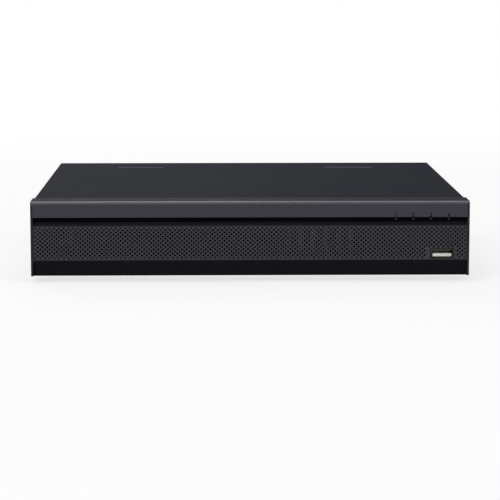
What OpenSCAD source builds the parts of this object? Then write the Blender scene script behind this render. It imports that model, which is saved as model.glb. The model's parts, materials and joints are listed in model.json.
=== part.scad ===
// Compact video recorder: sheet-steel case with a moulded front, eight video inputs and one hard disk.
// X runs to the right seen from the front, Y to the rear, Z up. Z 0 is the table under the feet.

/* [Casing] */
// Width over the painted cover
cover_w = 255; // [253:0.5:285]
// Depth from the face of the bezel to the outside of the rear panel
case_d = 225; // [222:0.5:260]
// Height from the underside of the chassis to the top of the cover
case_h = 44; // [43:0.5:52]
// Thickness of the sheet steel in the cover and the chassis
sheet = 0.8; // [0.6:0.1:1.1]
// Clearance between the sliding cover and the chassis
slide_gap = 0.2; // [0.15:0.05:0.4]
// Outside bend radius of the cover's long edges
cover_bend = 1.6; // [1.2:0.1:3]
// Width of the cover's lip beside the rear panel
lip_side = 3.7; // [3:0.1:5]
// Height of the cover's lip over the rear panel
lip_top = 4; // [3:0.1:5]
// Height of the rubber feet
foot_h = 3.5; // [2.5:0.25:6]
// Radius of a rubber foot where it meets the chassis
foot_r = 8; // [6:0.5:10]

/* [Bezel] */
// How far the moulded front stands out beyond the cover on each side
bezel_over = 0.5; // [0:0.1:1]
// Depth of the moulded front's top wall
bezel_d = 19; // [18:0.5:24]
// Wall thickness of the moulded front
bezel_wall = 2; // [1.6:0.1:2.4]
// Height of the plain band along the top of the front
band_h = 9.4; // [7:0.1:11]
// Height of the recessed line that holds the indicators
line_h = 2.6; // [2.2:0.1:3.2]
// Depth of the recessed line
line_d = 3.2; // [2.6:0.1:4]
// Height of the sloped ledge under the recessed line
ledge_h = 2.3; // [1.5:0.1:3]
// Height of the perforated grille panel
grille_h = 20.2; // [18:0.1:21]
// Thickness of the grille panel
grille_t = 1.2; // [1:0.1:1.6]
// Distance between neighbouring holes in one row of the grille
hole_pitch = 4.16; // [3.8:0.02:6]
// Half of the diagonal of one diamond hole
hole_half = 0.9; // [0.6:0.05:0.9]
// Distance between neighbouring indicators
lamp_pitch = 10.35; // [8:0.05:12]

/* [Video jacks] */
// Distance between neighbouring video jacks, across and up
bnc_pitch = 15; // [14.2:0.1:16]
// Length of a video jack outside the rear panel
bnc_reach = 12; // [11:0.5:14]
// Radius of a video jack's mating barrel
bnc_r = 4.83; // [4.6:0.01:5]
// Height of the lower video jacks over the circuit board
bnc_low = 5.4; // [5.2:0.1:6.4]

/* [Other sockets] */
// Distance between the two audio jacks
rca_pitch = 14; // [13:0.1:15]
// Length of an audio jack outside the rear panel
rca_reach = 9.5; // [8:0.5:11]
// Radius of an audio jack's metal barrel
rca_r = 4.15; // [4:0.05:4.3]
// Distance between the monitor socket's two screw posts
vga_span = 25; // [24.6:0.1:25.4]
// Distance between the terminal block's two poles
pole_pitch = 2.5; // [2.5:0.04:2.9]
// Travel of a terminal lever
lever_travel = 1.5; // [1:0.1:1.8]
// Radius of the power socket's mouth
dc_r = 3.15; // [2.8:0.05:3.2]

/* [Circuit boards] */
// Height of the standoffs under the main board
standoff_h = 3.2; // [3:0.1:5]
// Thickness of every circuit board
board_t = 1.6; // [1.2:0.1:1.8]
// Depth of the main board
board_d = 114; // [100:1:122]

/* [Hard disk] */
// Width of the disk drive
hdd_w = 101.6; // [100:0.1:101.6]
// Length of the disk drive
hdd_l = 147; // [140:0.5:147]
// Height of the disk drive
hdd_h = 26.1; // [24:0.1:27]
// Radius of a platter
platter_r = 47.5; // [42:0.5:47.5]

/* [Hidden] */

// Small clearances that several pieces share
fit = 0.05;      // between a round piece and the hole that it is pressed or turned in
seat = 0.1;      // between a moulded piece and its pocket
e = 0.01;        // how far a cutting tool runs past a face

// Case datums
bezel_w = cover_w + 2 * bezel_over;       // width of the moulded front
overall_d = case_d + bnc_reach;
front_y = -overall_d / 2;
panel_y = front_y + case_d;               // outside of the rear panel
base_z = foot_h;                          // underside of the chassis
side_x = cover_w / 2;
chassis_x = side_x - sheet - slide_gap;   // outside of the chassis's side flanges
seam = 0.3;                               // gap between the bezel and the cover
cover_y = front_y + bezel_d + seam;
flange_y = front_y + bezel_d - 2;         // front of the chassis's front flange
side_flange_h = 14;
skirt_z = 1;                              // the cover's sides end this far above the chassis's underside
tongue_l = 5;                             // tongues of the cover that reach under the bezel
tongue_drop = 0.9;
flange_top = case_h - 2 * sheet - tongue_drop - 0.3;   // the tongues rest just above the front flange

// Rear tabs and screws
tab_reach = 11.1;
tab_h = 9.5;
tab_z = 21;
tab_r = 1.8;
tab_screw_in = 7.6;
screw_r = 1.45;
screw_head_r = 2.5;
screw_head_h = 1.8;

// Grooves stamped in the cover's top
groove_l = 32.5;
groove_w = 5;
groove_depth = 1.2;
groove_slope = 1.2;
groove_x = 70.2;
groove_back = 0.866;                      // place along the case's depth

// Bezel levels, up from the chassis's underside
band_z = case_h - band_h;
line_z = band_z - line_h;
grille_top = line_z - ledge_h;
grille_z = grille_top - grille_h;
face_back = 0.8;                          // the grille's face lies this far behind the band
border = 1.3;                             // width of the bezel's side borders
edge_r = 1.2;
lip_step = 0.6;                           // how much thinner the bezel's rear lip is
grille_w = bezel_w - 2 * border - 1;
hook_x = chassis_x - 3;                   // places of the hooks that hold the bezel on the front flange
hook_z = [8, 31];

// Indicators and the front USB socket, measured from the right end of the bezel
lamp_z = band_z - line_h / 2;
lamp_in = 12;
lamp_t = 0.8;
usb_in = 15.8;
usb_z = 12.9;
usb_shell_w = 13.1;
usb_shell_h = 5.7;
usb_wall = 0.35;
usb_l = 14;
window_gap = 0.25;                        // between the front USB socket and its window
front_usb_y = front_y + face_back + 0.2;
front_board_y = front_usb_y + usb_l;

// Main board datums: port_x counts from the cover's side behind the power socket
board_z = sheet + standoff_h;
board_top = board_z + board_t;
board_back = panel_y - sheet - 1;
board_side = 15.5;
board_strip = 32;
hdd_gap = 3;
hdd_x = chassis_x - sheet - hdd_gap - hdd_w / 2;
hdd_front = flange_y + sheet + 4;
hdd_y = hdd_front + hdd_l / 2;
hdd_pad_h = 2;
hdd_z = sheet + hdd_pad_h;
board_inner_x = hdd_x - hdd_w / 2 - hdd_gap;
board_strip_x = port_x(129.1) + 3 * bnc_pitch + 8;
function port_x(d) = d - side_x;

// Sockets: distance from the cover's side, and sizes
ground_at = 10.9;
ground_z = 7.3;
bridge_at = 12.4;
bridge_z = 33.3;
dc_at = 35.4;
dc_w = 9;
dc_h = 11;
dc_up = 6.8;
dc_pin_r = 1;
dc_root_r = 1.3;
usb_at = 48.9;
usb_up = 4.5;
vga_at = 53.5;
vga_up = 24.4;
vga_w = 16.9;
vga_h = 8.5;
vga_wall = 0.5;
vga_flange_w = 31;
vga_flange_h = 12.4;
vga_reach = 5.8;
term_at = 61.9;
term_w = 8;
term_h = 8.9;
term_wall_h = 10.6;
term_d = 12;
term_out = 3;
term_hole_up = 6.9;
lever_w = 2.2;
lever_h = 4.6;
lever_out = 0.6;
keel_w = 0.8;
keel_h = 0.55;
keel_y = -3.4;
keel_l = 3.8;
lan_at = 76.2;
lan_w = 16;
lan_h = 13.8;
lan_d = 18;
lan_frame = 1.7;
lan_wall = 0.4;
hdmi_at = 94.8;
hdmi_up = 3.8;
hdmi_w = 15;
hdmi_h = 5.8;
hdmi_d = 12;
hdmi_wall = 0.4;
rca_at = 114.4;
rca_low = 6.6;
rca_screw_at = 107.2;
rca_screw_up = 13.3;
bnc_at = 129.1;
spare_hole_at = 148.8;
spare_hole_up = 13.1;
cut_gap = 0.35;                           // between a socket and its hole in the rear panel

bnc_flange_r = 6.1;
bnc_lug_r = 5.5;
bnc_neck_r = bnc_r - 0.43;                // behind the collar that the plug's sleeve slides over
bnc_tail_r = 5;
bnc_tail = 9;
bnc_block_d = 14;
bnc_block_w = 14;
rca_flange_r = 4.9;
rca_block_w = 10.4;
rca_block_d = 12;
post_af = 5;
post_out = 4.6;

// ---------- helpers ----------
module rounded(w, h, r) {
  square([w - 2 * r, h], center = true);
  square([w, h - 2 * r], center = true);
  for (sx = [-1, 1], sy = [-1, 1]) translate([sx * (w / 2 - r), sy * (h / 2 - r)]) circle(r = r, $fn = 32);
}
module stadium(l, w) {
  square([l - w, w], center = true);
  for (s = [-1, 1]) translate([s * (l - w) / 2, 0]) circle(d = w, $fn = 32);
}
// an arch: square feet, round shoulders
module arch(w, h, r) {
  translate([-w / 2, 0]) square([w, h - r]);
  translate([-w / 2 + r, h - r - e]) square([w - 2 * r, r + e]);
  for (s = [-1, 1]) translate([s * (w / 2 - r), h - r]) circle(r = r, $fn = 48);
}
// a flat shape drawn in X and Z, as a wall that ends at Y 0 and is t thick towards the front
module wall_xz(t) rotate([90, 0, 0]) linear_extrude(t) children();
// a turned shape whose axis points to the rear
module along_y() rotate([-90, 0, 0]) children();
// a profile drawn as [back, up], run along X with its middle at 0
module along_x(l) translate([-l / 2, 0, 0]) rotate([90, 0, 90]) linear_extrude(l) children();
module ring(r_out, r_in, h) difference() {
  cylinder(r = r_out, h = h, $fn = 64);
  translate([0, 0, -e]) cylinder(r = r_in, h = h + 2 * e, $fn = 64);
}
module block(x, y, z) translate([-x / 2, -y / 2, 0]) cube([x, y, z]);
// D-shaped outline of the monitor socket, as arcs at four corners
function arc_points(cx, cy, r, from, to, n) =
  [for (i = [0:n]) let (a = from + (to - from) * i / n) [cx + r * cos(a), cy + r * sin(a)]];
function d_points(w, h, r, tilt) =
  let (top = w / 2 - r, low = w / 2 - r - (h - 2 * r) * tan(tilt), y = h / 2 - r) concat(
    arc_points(top, y, r, -tilt, 90, 5), arc_points(-top, y, r, 90, 180 + tilt, 5),
    arc_points(-low, -y, r, 180 + tilt, 270, 5), arc_points(low, -y, r, 270, 360 - tilt, 5));

// A pan-head screw, head up, with its seat at Z 0 and a cross recess
module pan_screw(head_r, head_h, shank_r, shank_l) {
  difference() {
    rotate_extrude($fn = 48) polygon([
      [0, -shank_l], [shank_r - 0.3, -shank_l], [shank_r, 0.3 - shank_l], [shank_r, 0], [head_r, 0],
      [head_r, head_h * 0.45], [head_r * 0.72, head_h], [0, head_h]]);
    for (a = [0, 90]) rotate(a) translate([0, 0, head_h * 0.45 + 1])
      cube([head_r * 1.1, 0.55, 2], center = true);
  }
}

// Places on the rear panel: z counts from the chassis's underside, or from the main board
module on_panel(d, z) translate([port_x(d), panel_y, base_z + z]) children();
module on_board(d, up) on_panel(d, board_top + up) children();
module each_bnc() for (i = [0:7]) bnc_place(i) children();
module bnc_place(i) on_board(bnc_at + (3 - i % 4) * bnc_pitch, bnc_low + (1 - floor(i / 4)) * bnc_pitch)
  children();
module each_rca() for (i = [0, 1]) on_board(rca_at, rca_low + i * rca_pitch) children();

// ---------- sheet steel ----------
module panel_holes() {
  for (i = [0:7])
    translate([port_x(bnc_at + (3 - i % 4) * bnc_pitch), board_top + bnc_low + floor(i / 4) * bnc_pitch])
      circle(r = bnc_flange_r + cut_gap, $fn = 64);
  for (i = [0, 1])
    translate([port_x(rca_at), board_top + rca_low + i * rca_pitch])
      circle(r = rca_flange_r + 2 * cut_gap, $fn = 64);
  translate([port_x(rca_screw_at), board_top + rca_screw_up]) circle(r = screw_r + 0.2, $fn = 32);
  translate([port_x(spare_hole_at), board_top + spare_hole_up]) circle(r = 1.55, $fn = 32);
  translate([port_x(hdmi_at), board_top + hdmi_up]) polygon(hdmi_points(cut_gap));
  translate([port_x(lan_at), board_top + lan_h / 2]) square([lan_w + 2 * cut_gap, lan_h + 2 * cut_gap],
    center = true);
  translate([port_x(term_at), board_top]) translate([-term_w / 2 - cut_gap, -cut_gap])
    square([term_w + 2 * cut_gap, term_wall_h + 2 * cut_gap]);
  translate([port_x(term_at) + term_w / 2 - 2 * pole_pitch - 2 * cut_gap, board_top])
    square([2 * pole_pitch + 3 * cut_gap, term_h + lever_h + 2 * cut_gap]);
  translate([port_x(usb_at), board_top + usb_up]) {
    square([usb_shell_w + 2 * cut_gap, usb_shell_h + 2 * cut_gap], center = true);
    for (sx = [-1, 1], sz = [-1, 1]) translate([sx * usb_shell_w / 2, sz * usb_shell_h / 2])
      circle(r = 0.8, $fn = 24);
  }
  translate([port_x(dc_at), board_top + dc_h / 2]) square([dc_w + 2 * cut_gap, dc_h + 2 * cut_gap],
    center = true);
  translate([port_x(vga_at), board_top + vga_up]) polygon(d_points(vga_w + 2 * cut_gap,
    vga_h + 2 * cut_gap, 2.6, 10));
  for (s = [-1, 1])
    translate([port_x(vga_at) + s * vga_span / 2, board_top + vga_up]) circle(r = 1.6, $fn = 32);
  translate([port_x(ground_at), ground_z]) circle(r = screw_r + fit, $fn = 32);
  for (s = [-1, 1]) translate([s * (side_x - tab_screw_in), tab_z]) circle(r = screw_r + fit, $fn = 32);
  for (s = [-1, 1]) translate([port_x(bridge_at) + s * 1.8, bridge_z]) square([1, 5.4], center = true);
}

// The strap beside the monitor socket that a power lead can be tied to
module tie_bridge() on_panel(bridge_at, bridge_z) rotate([90, 0, 90]) translate([0, 0, -1.1])
  linear_extrude(2.2)
  polygon([[-sheet, -3.6], [0.4, -3.6], [1.7, -2.2], [1.7, 2.2], [0.4, 3.6], [-sheet, 3.6], [-sheet, 2.7],
    [0.1, 2.7],
    [0.9, 1.8], [0.9, -1.8], [0.1, -2.7], [-sheet, -2.7]]);

standoffs = [
  [port_x(board_side + 5), board_back - 26], [port_x(board_side + 5), board_back - board_d + 6],
  [board_inner_x - 5, board_back - board_d + 6], [board_inner_x - 6, board_back - 46],
  [port_x(107), board_back - 28]
];
hdd_holes = [for (sx = [-1, 1], dy = [18, 62.45]) [hdd_x + sx * (hdd_w / 2 - 3.2),
  hdd_y + hdd_l / 2 - 23.3 - dy]];
corner_cut = 2.83;
return_l = 6;                             // depth of the folds at the rear panel's sides and foot
front_lip = 4.5;                          // depth of the lip on top of the front flange
vent_rows = 7;
vent_l = 26;

// lower corners of the sides, clear of the cover's lip
module corner_cuts() for (s = [-1, 1]) translate([s * chassis_x, panel_y, base_z]) rotate([0, 45, 0])
  cube([corner_cut, 40, corner_cut], center = true);

module chassis() color([0.78, 0.8, 0.82]) difference() {
  union() {
    // bottom
    translate([-chassis_x, flange_y, base_z]) cube([2 * chassis_x, panel_y - sheet - fit - flange_y,
      sheet]);
    // side flanges
    for (s = [-1, 1]) translate([s * (chassis_x - sheet / 2) - sheet / 2, flange_y, base_z])
      cube([sheet, panel_y - return_l - fit - flange_y, side_flange_h]);
    // front flange, with a lip that carries the cover
    translate([-chassis_x, flange_y, base_z]) cube([2 * chassis_x, sheet, flange_top]);
    translate([-chassis_x + 3, flange_y, base_z + flange_top - sheet])
      cube([2 * chassis_x - 6, front_lip, sheet]);
    // pads and standoffs
    for (p = hdd_holes) translate([p.x, p.y, base_z]) cylinder(r = 6, h = hdd_z, $fn = 48);
    for (p = standoffs) translate([p.x, p.y, base_z]) cylinder(r = 3, h = board_z, $fn = 32);
  }
  corner_cuts();
  // room for the sides of the rear panel
  for (s = [-1, 1]) translate([s * chassis_x, panel_y, base_z])
    cube([2 * (sheet + fit), 2 * (return_l + fit), 2 * sheet + e], center = true);
  for (p = hdd_holes) translate([p.x, p.y, base_z - e]) cylinder(r = 1.95, h = hdd_z + 2 * e, $fn = 32);
  for (p = standoffs) translate([p.x, p.y, base_z + 1]) cylinder(r = screw_r + fit, h = board_z, $fn = 32);
  // vents under the board
  for (i = [0:vent_rows - 1], s = [0, 1])
    translate([port_x(55 + s * 45), board_back - board_d + 18 + i * 8, base_z - e])
      linear_extrude(sheet + 2 * e) stadium(vent_l, 3);
  // vents and openings in the front flange
  for (i = [0:23]) translate([-chassis_x + 14 + i * 7.5, flange_y + sheet + e, base_z + 20])
    wall_xz(sheet + 2 * e) rotate(90) stadium(18, 3);
  translate([front_header_x, flange_y + sheet + e, base_z + front_header_z + 2.5])
    wall_xz(sheet + 2 * e) rounded(18, 9, 1.5);
  translate([bezel_w / 2 - usb_in, flange_y + sheet + e, base_z + usb_z])
    wall_xz(sheet + 2 * e) rounded(16, 8, 1.5);
  for (s = [-1, 1], z = hook_z) translate([s * hook_x, flange_y, base_z + z])
    cube([3, 10, 5], center = true);
}

// rear panel with the sockets' holes, folded inwards all round; its foot is welded on the chassis's bottom
module rear_panel() color([0.8, 0.82, 0.84]) difference() {
  union() {
    translate([0, panel_y, base_z]) wall_xz(sheet) difference() {
      polygon([[-chassis_x + 2, 0], [chassis_x - 2, 0], [chassis_x, 2], [chassis_x, flange_top],
        [-chassis_x, flange_top], [-chassis_x, 2]]);
      panel_holes();
    }
    translate([-chassis_x + 3, panel_y - 8, base_z + flange_top - sheet])
      cube([2 * chassis_x - 6, 8, sheet]);
    for (s = [-1, 1]) translate([s * (chassis_x - sheet / 2) - sheet / 2, panel_y - return_l, base_z])
      cube([sheet, return_l, flange_top - 4]);
    translate([-chassis_x + 4, panel_y - return_l, base_z + sheet + fit])
      cube([2 * chassis_x - 8, return_l - sheet + e, sheet]);
    tie_bridge();
  }
  corner_cuts();
}

module cover_groove(extra) translate([0, front_y + groove_back * case_d + groove_w / 2 + extra,
  base_z + case_h + e])
  rotate([90, 0, 0]) linear_extrude(groove_w + 2 * extra) polygon([
    [-groove_l / 2 - extra, 0], [groove_l / 2 + extra, 0],
    [groove_l / 2 + extra, -e - (extra > 0 ? sheet : 0)],
      [groove_l / 2 - groove_slope + extra / 2, -groove_depth - extra - e],
    [-groove_l / 2 + groove_slope - extra / 2, -groove_depth - extra - e],
      [-groove_l / 2 - extra, -e - (extra > 0 ? sheet : 0)]]);

module top_cover() color([0.2, 0.2, 0.22]) {
  cover_l = panel_y + slide_gap + sheet - cover_y;
  difference() {
    union() {
      // top and sides, bent from one sheet
      translate([0, cover_y + cover_l, base_z]) wall_xz(cover_l) difference() {
        translate([0, skirt_z]) arch(cover_w, case_h - skirt_z, cover_bend);
        arch(cover_w - 2 * sheet, case_h - sheet, cover_bend - sheet / 2);
      }
      // lip and screw tabs around the rear panel
      translate([0, panel_y + slide_gap + sheet, base_z]) wall_xz(sheet) difference() {
        union() {
          difference() {
            translate([0, skirt_z]) arch(cover_w, case_h - skirt_z, cover_bend);
            translate([-side_x + lip_side, -e]) square([cover_w - 2 * lip_side, case_h - lip_top + e]);
          }
          for (s = [-1, 1]) {
            translate([s * (side_x - tab_reach / 2 - 1), tab_z]) rounded(tab_reach - 2, tab_h, tab_r);
            translate([s * (side_x - lip_side / 2 - 1), tab_z])
              square([lip_side + 2, tab_h], center = true);
          }
        }
        for (s = [-1, 1]) {
          translate([s * (side_x - tab_screw_in), tab_z]) circle(r = screw_r + 0.25, $fn = 32);
          // corner relief between the top lip and the side lip
          translate([s * (side_x - lip_side), case_h - lip_top]) rotate(s * -45) translate([0, 1])
            square([0.7, 4.4], center = true);
          // the side lip's pointed foot
          translate([s * (side_x - lip_side), skirt_z]) rotate(s > 0 ? -35 : 35)
            square([6, 2.6], center = true);
        }
      }
      for (s = [-1, 1]) translate([s * groove_x, 0, 0]) cover_groove(sheet);
      // tongues that reach under the bezel's rear lip
      for (x = [-80, 0, 80]) translate([x, cover_y, base_z + case_h - sheet]) along_x(30) polygon([
        [8, e], [8, -sheet], [1.6, -sheet], [0.8, -sheet - tongue_drop], [-tongue_l, -sheet - tongue_drop],
        [-tongue_l, -tongue_drop], [0.3, -tongue_drop], [1, e]]);
    }
    for (s = [-1, 1]) translate([s * groove_x, 0, 0]) cover_groove(0);
    // side vents, front and rear
    for (s = [-1, 1], g = [0, 1], i = [0:11])
      translate([s * side_x, cover_y + 24 + g * 100 + i * 5, base_z + 25]) rotate([90, 0, 90])
        translate([0, 0, -3]) linear_extrude(6) rotate(90) stadium(18, 2.2);
  }
}

// ---------- moulded front ----------
module bezel_outline() polygon(concat([[bezel_d, 0], [bezel_d, case_h]],
  arc_points(edge_r, case_h - edge_r, edge_r, 90, 180, 6),
    arc_points(edge_r, edge_r, edge_r, 180, 270, 6)));
// what is cut from the front between the side borders
module bezel_face_cut() polygon([
  [-1, band_z], [line_d, band_z], [line_d, line_z], [face_back, grille_top],
  [face_back, grille_z], [2.6, 1.6], [2.6 + 1.4, -1], [-1, -1]]);
// the hollow behind the face
module bezel_hollow() polygon([
  [bezel_wall + 0.4, case_h - bezel_wall], [bezel_wall + 0.4, band_z + bezel_wall],
    [line_d + bezel_wall, band_z + bezel_wall],
  [line_d + bezel_wall, line_z - 1], [face_back + grille_t + bezel_wall, grille_top - 1],
  [face_back + grille_t + bezel_wall, grille_z + 1], [5.2, bezel_wall + 0.2],
  [bezel_d + 1, bezel_wall + 0.2], [bezel_d + 1, case_h - bezel_wall]]);

module front_bezel() color([0.23, 0.23, 0.25]) translate([0, front_y, base_z]) {
  difference() {
    along_x(bezel_w) bezel_outline();
    along_x(bezel_w - 2 * border) bezel_face_cut();
    along_x(bezel_w - 2 * bezel_wall) bezel_hollow();
    // pocket and opening for the grille panel
    translate([0, face_back + grille_t + seat, grille_z + grille_h / 2]) wall_xz(4)
      square([grille_w + 2 * seat, grille_h - 0.6], center = true);
    translate([0, 8, grille_z + grille_h / 2]) wall_xz(8)
      square([grille_w - 4, grille_h - 4], center = true);
    // window and light-pipe holes
    translate([bezel_w / 2 - usb_in, 8, usb_z]) wall_xz(8)
      square([usb_shell_w + 2 * window_gap, usb_shell_h + 2 * window_gap], center = true);
    for (i = [0:3]) translate([bezel_w / 2 - lamp_in - i * lamp_pitch, -1, lamp_z]) along_y()
      cylinder(r = 0.9, h = 8, $fn = 32);
    // rear lip, thinned over the cover's tongues, and room for the front flange and the chassis's bottom
    translate([-bezel_w / 2 + bezel_wall, bezel_d - tongue_l - 1, case_h - bezel_wall - 1])
      cube([bezel_w - 2 * bezel_wall, tongue_l + 2, 1 + lip_step]);
    translate([-chassis_x - slide_gap, flange_y - front_y - slide_gap, -1])
      cube([2 * (chassis_x + slide_gap), bezel_d, case_h - bezel_wall + 1]);
  }
  // posts that stand on the front flange, and their hooks through it
  for (s = [-1, 1], z = hook_z) translate([s * hook_x, 0, z]) {
    translate([-2.5, bezel_wall + 1.4, -3]) cube([5, flange_y - front_y - bezel_wall - 1.4, 6]);
    translate([-1.2, 0, 0]) rotate([90, 0, 90]) linear_extrude(2.4) polygon([
      [flange_y - front_y - e, -2], [flange_y - front_y + sheet + 0.2, -2],
        [flange_y - front_y + sheet + 0.2, -3.2],
      [flange_y - front_y + sheet + 1, -3.2], [flange_y - front_y + sheet + 2.6, -1.6],
        [flange_y - front_y + sheet + 2.6, 2],
      [flange_y - front_y - e, 2]]);
  }
}

module grille_panel() color([0.21, 0.21, 0.23]) {
  rows = floor((grille_h - 1) / (hole_pitch * 0.454)) - 1;
  cols = floor((grille_w - 3) / hole_pitch) - 1;
  usb_x = bezel_w / 2 - usb_in;
  usb_up_z = usb_z - grille_z - grille_h / 2;
  translate([0, front_y + face_back + grille_t, base_z + grille_z + grille_h / 2]) wall_xz(grille_t)
    difference() {
    square([grille_w, grille_h - 0.8], center = true);
    for (r = [0:rows], c = [0:cols]) {
      x = (c - cols / 2 + (r % 2) / 2 - 0.25) * hole_pitch;
      z = (r - rows / 2) * hole_pitch * 0.454;
      blank = x > usb_x - 12 && x < usb_x + 8.5 && z < usb_up_z + 4.4;
      if (!blank) translate([x, z]) circle(r = hole_half, $fn = 4);
    }
    translate([usb_x, usb_up_z]) square([usb_shell_w + 2 * window_gap, usb_shell_h + 2 * window_gap],
      center = true);
  }
}

module indicator_strip() color([0.02, 0.02, 0.025]) translate([0, front_y + line_d,
  base_z + line_z + line_h / 2]) wall_xz(0.8)
  difference() {
    square([bezel_w - 2 * border - 0.4, line_h - 0.2], center = true);
    for (i = [0:3]) translate([bezel_w / 2 - lamp_in - i * lamp_pitch, 0]) circle(r = 0.6, $fn = 24);
  }

module light_pipes() color([0.9, 0.92, 0.95]) for (i = [0:3])
  translate([bezel_w / 2 - lamp_in - i * lamp_pitch, front_y + line_d - 0.9, base_z + lamp_z]) along_y() {
    pipe_l = front_board_y - front_y - line_d + 0.9 - lamp_t - seat;
    cylinder(r = 0.55, h = 2, $fn = 24);
    translate([0, 0, 0.9 + fit]) cylinder(r = 0.85, h = pipe_l - 0.9 - fit, $fn = 24);
    translate([0, 0, 0.9 + bezel_wall + seat]) cylinder(r = 1.5, h = 0.8, $fn = 24);
  }

module feet() color([0.08, 0.08, 0.08]) for (sx = [-1, 1], y = [flange_y + 20, panel_y - 22])
  translate([sx * (chassis_x - 20), y, 0]) difference() {
    rotate_extrude($fn = 64) polygon([[0, 0], [foot_r - 1.4, 0], [foot_r - 1, 0.5], [foot_r, foot_h],
      [0, foot_h]]);
    translate([0, 0, -e]) cylinder(r = 2.5, h = foot_h * 0.5, $fn = 32);
  }

// ---------- fasteners ----------
module cover_screws() color([0.75, 0.72, 0.65]) for (s = [-1, 1])
  translate([s * (side_x - tab_screw_in), panel_y + slide_gap + sheet, base_z + tab_z]) along_y()
    pan_screw(screw_head_r, screw_head_h, screw_r, 5);

module ground_screw() color([0.78, 0.74, 0.62]) on_panel(ground_at, ground_z) along_y() {
  translate([0, 0, 0.6]) pan_screw(screw_head_r - 0.05, screw_head_h, screw_r, 4);
  ring(2.9, screw_r + fit, 0.6);
}

module board_screws() color([0.75, 0.73, 0.68]) {
  for (p = standoffs) translate([p.x, p.y, base_z + board_top]) pan_screw(2.7, 1.8, screw_r, 4);
  on_board(rca_screw_at, rca_screw_up) along_y() pan_screw(2.4, 1.7, 1.25, 5);
}

// ---------- video and audio jacks ----------
module bnc_shell(i) color([0.72, 0.69, 0.62]) bnc_place(i) along_y() {
  lug_at = bnc_reach - 6.2;
  difference() {
    rotate_extrude($fn = 96) polygon([
      [2.45, -bnc_tail], [bnc_tail_r, -bnc_tail], [bnc_tail_r, -1.6], [bnc_flange_r, -1.6],
        [bnc_flange_r, 1.6],
      [bnc_flange_r - 0.4, 2], [bnc_neck_r, 2], [bnc_neck_r, bnc_reach - 4.9], [bnc_r, bnc_reach - 4.9],
      [bnc_r, bnc_reach - 0.3], [bnc_r - 0.3, bnc_reach], [4.2, bnc_reach], [4.05, bnc_reach - 0.4],
      [4.05, bnc_reach - 5], [3.3, bnc_reach - 5], [3.3, bnc_reach - 8.4], [2.45, bnc_reach - 8.4]]);
  }
  for (a = [0, 180]) rotate(a) translate([bnc_neck_r - 0.4, 0, lug_at]) rotate([0, 90, 0])
    cylinder(r = 1, h = bnc_lug_r - bnc_neck_r + 0.4, $fn = 32);
}

module bnc_insulators() color([0.93, 0.9, 0.8]) each_bnc() along_y() translate([0, 0, -bnc_tail])
  difference() {
    cylinder(r = 2.4, h = bnc_tail + bnc_reach - 1, $fn = 48);
    translate([0, 0, -e]) cylinder(r = 1.1, h = bnc_tail + bnc_reach, $fn = 48);
  }

module bnc_contacts() color([0.85, 0.68, 0.35]) each_bnc() along_y() translate([0, 0, -bnc_tail])
  difference() {
    cylinder(r = 1.1 - fit, h = bnc_tail + bnc_reach - 2.6, $fn = 32);
    translate([0, 0, bnc_tail + bnc_reach - 8]) cylinder(r = 0.7, h = 8, $fn = 32);
  }

module bnc_blocks() color([0.1, 0.09, 0.08]) for (c = [0:3]) on_board(bnc_at + c * bnc_pitch, 0)
  translate([0, -sheet - 1.6, 0]) difference() {
    union() {
      translate([-bnc_block_w / 2, -bnc_block_d, 0]) cube([bnc_block_w, bnc_block_d,
        bnc_low + bnc_pitch + 6.4]);
      translate([-bnc_block_w / 2, -bnc_block_d - 6, 0]) cube([bnc_block_w, 6 + e, bnc_low + 6.4]);
    }
    for (i = [0, 1]) translate([0, 0, bnc_low + i * bnc_pitch]) {
      translate([0, sheet + 1.6 - bnc_tail - seat, 0]) along_y()
        cylinder(r = bnc_tail_r + fit, h = bnc_tail + 1, $fn = 64);
      translate([0, -sheet, 0]) along_y() cylinder(r = bnc_flange_r + fit, h = 3, $fn = 64);
    }
  }

module rca_block() color([0.07, 0.07, 0.07]) on_board(rca_at, 0) translate([0, -sheet - 0.3, 0])
  difference() {
  union() {
    translate([-rca_block_w / 2, -rca_block_d, 0]) cube([rca_block_w, rca_block_d,
      rca_low + rca_pitch + 5.8]);
    // ear for the panel screw
    translate([rca_screw_at - rca_at - 2.6, -6, rca_screw_up - 3.2]) cube([6, 6, 6.4]);
  }
  for (i = [0, 1]) translate([0, 0, rca_low + i * rca_pitch]) {
    translate([0, -8, 0]) along_y() cylinder(r = rca_r - 0.4 + fit, h = 9, $fn = 64);
    translate([0, -1.5, 0]) along_y() cylinder(r = rca_flange_r + fit, h = 3, $fn = 64);
  }
  translate([rca_screw_at - rca_at, -5.4, rca_screw_up]) along_y()
    cylinder(r = 1.25 + fit, h = 6, $fn = 32);
}

module rca_shells() color([0.82, 0.82, 0.8]) each_rca() along_y()
  rotate_extrude($fn = 96) polygon([
    [3.05, -7.5], [rca_r - 0.4, -7.5], [rca_r - 0.4, -1.8], [rca_flange_r, -1.8], [rca_flange_r, 0.6],
      [rca_r + 0.2, 0.9],
    [rca_r, 1.2], [rca_r, rca_reach - 0.4], [rca_r - 0.4, rca_reach], [3.25, rca_reach],
      [3.05, rca_reach - 0.3]]);

module rca_inserts() color([0.82, 0.05, 0.1]) each_rca() along_y() translate([0, 0, -7.5]) difference() {
  cylinder(r = 3.05 - fit, h = 7.5 + rca_reach - 0.6, $fn = 64);
  translate([0, 0, 3]) cylinder(r = 1.65, h = 7.5 + rca_reach, $fn = 48);
}

// ---------- digital sockets ----------
// the HDMI outline: square shoulders, and sides that run in to a narrower foot; g makes it larger all round
function hdmi_points(g) = let (w = hdmi_w / 2 + g, h = hdmi_h / 2 + g, foot = hdmi_w * 0.345 + g)
  [[-w, h], [-w, -h * 0.36], [-foot, -h], [foot, -h], [w, -h * 0.36], [w, h]];

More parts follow.
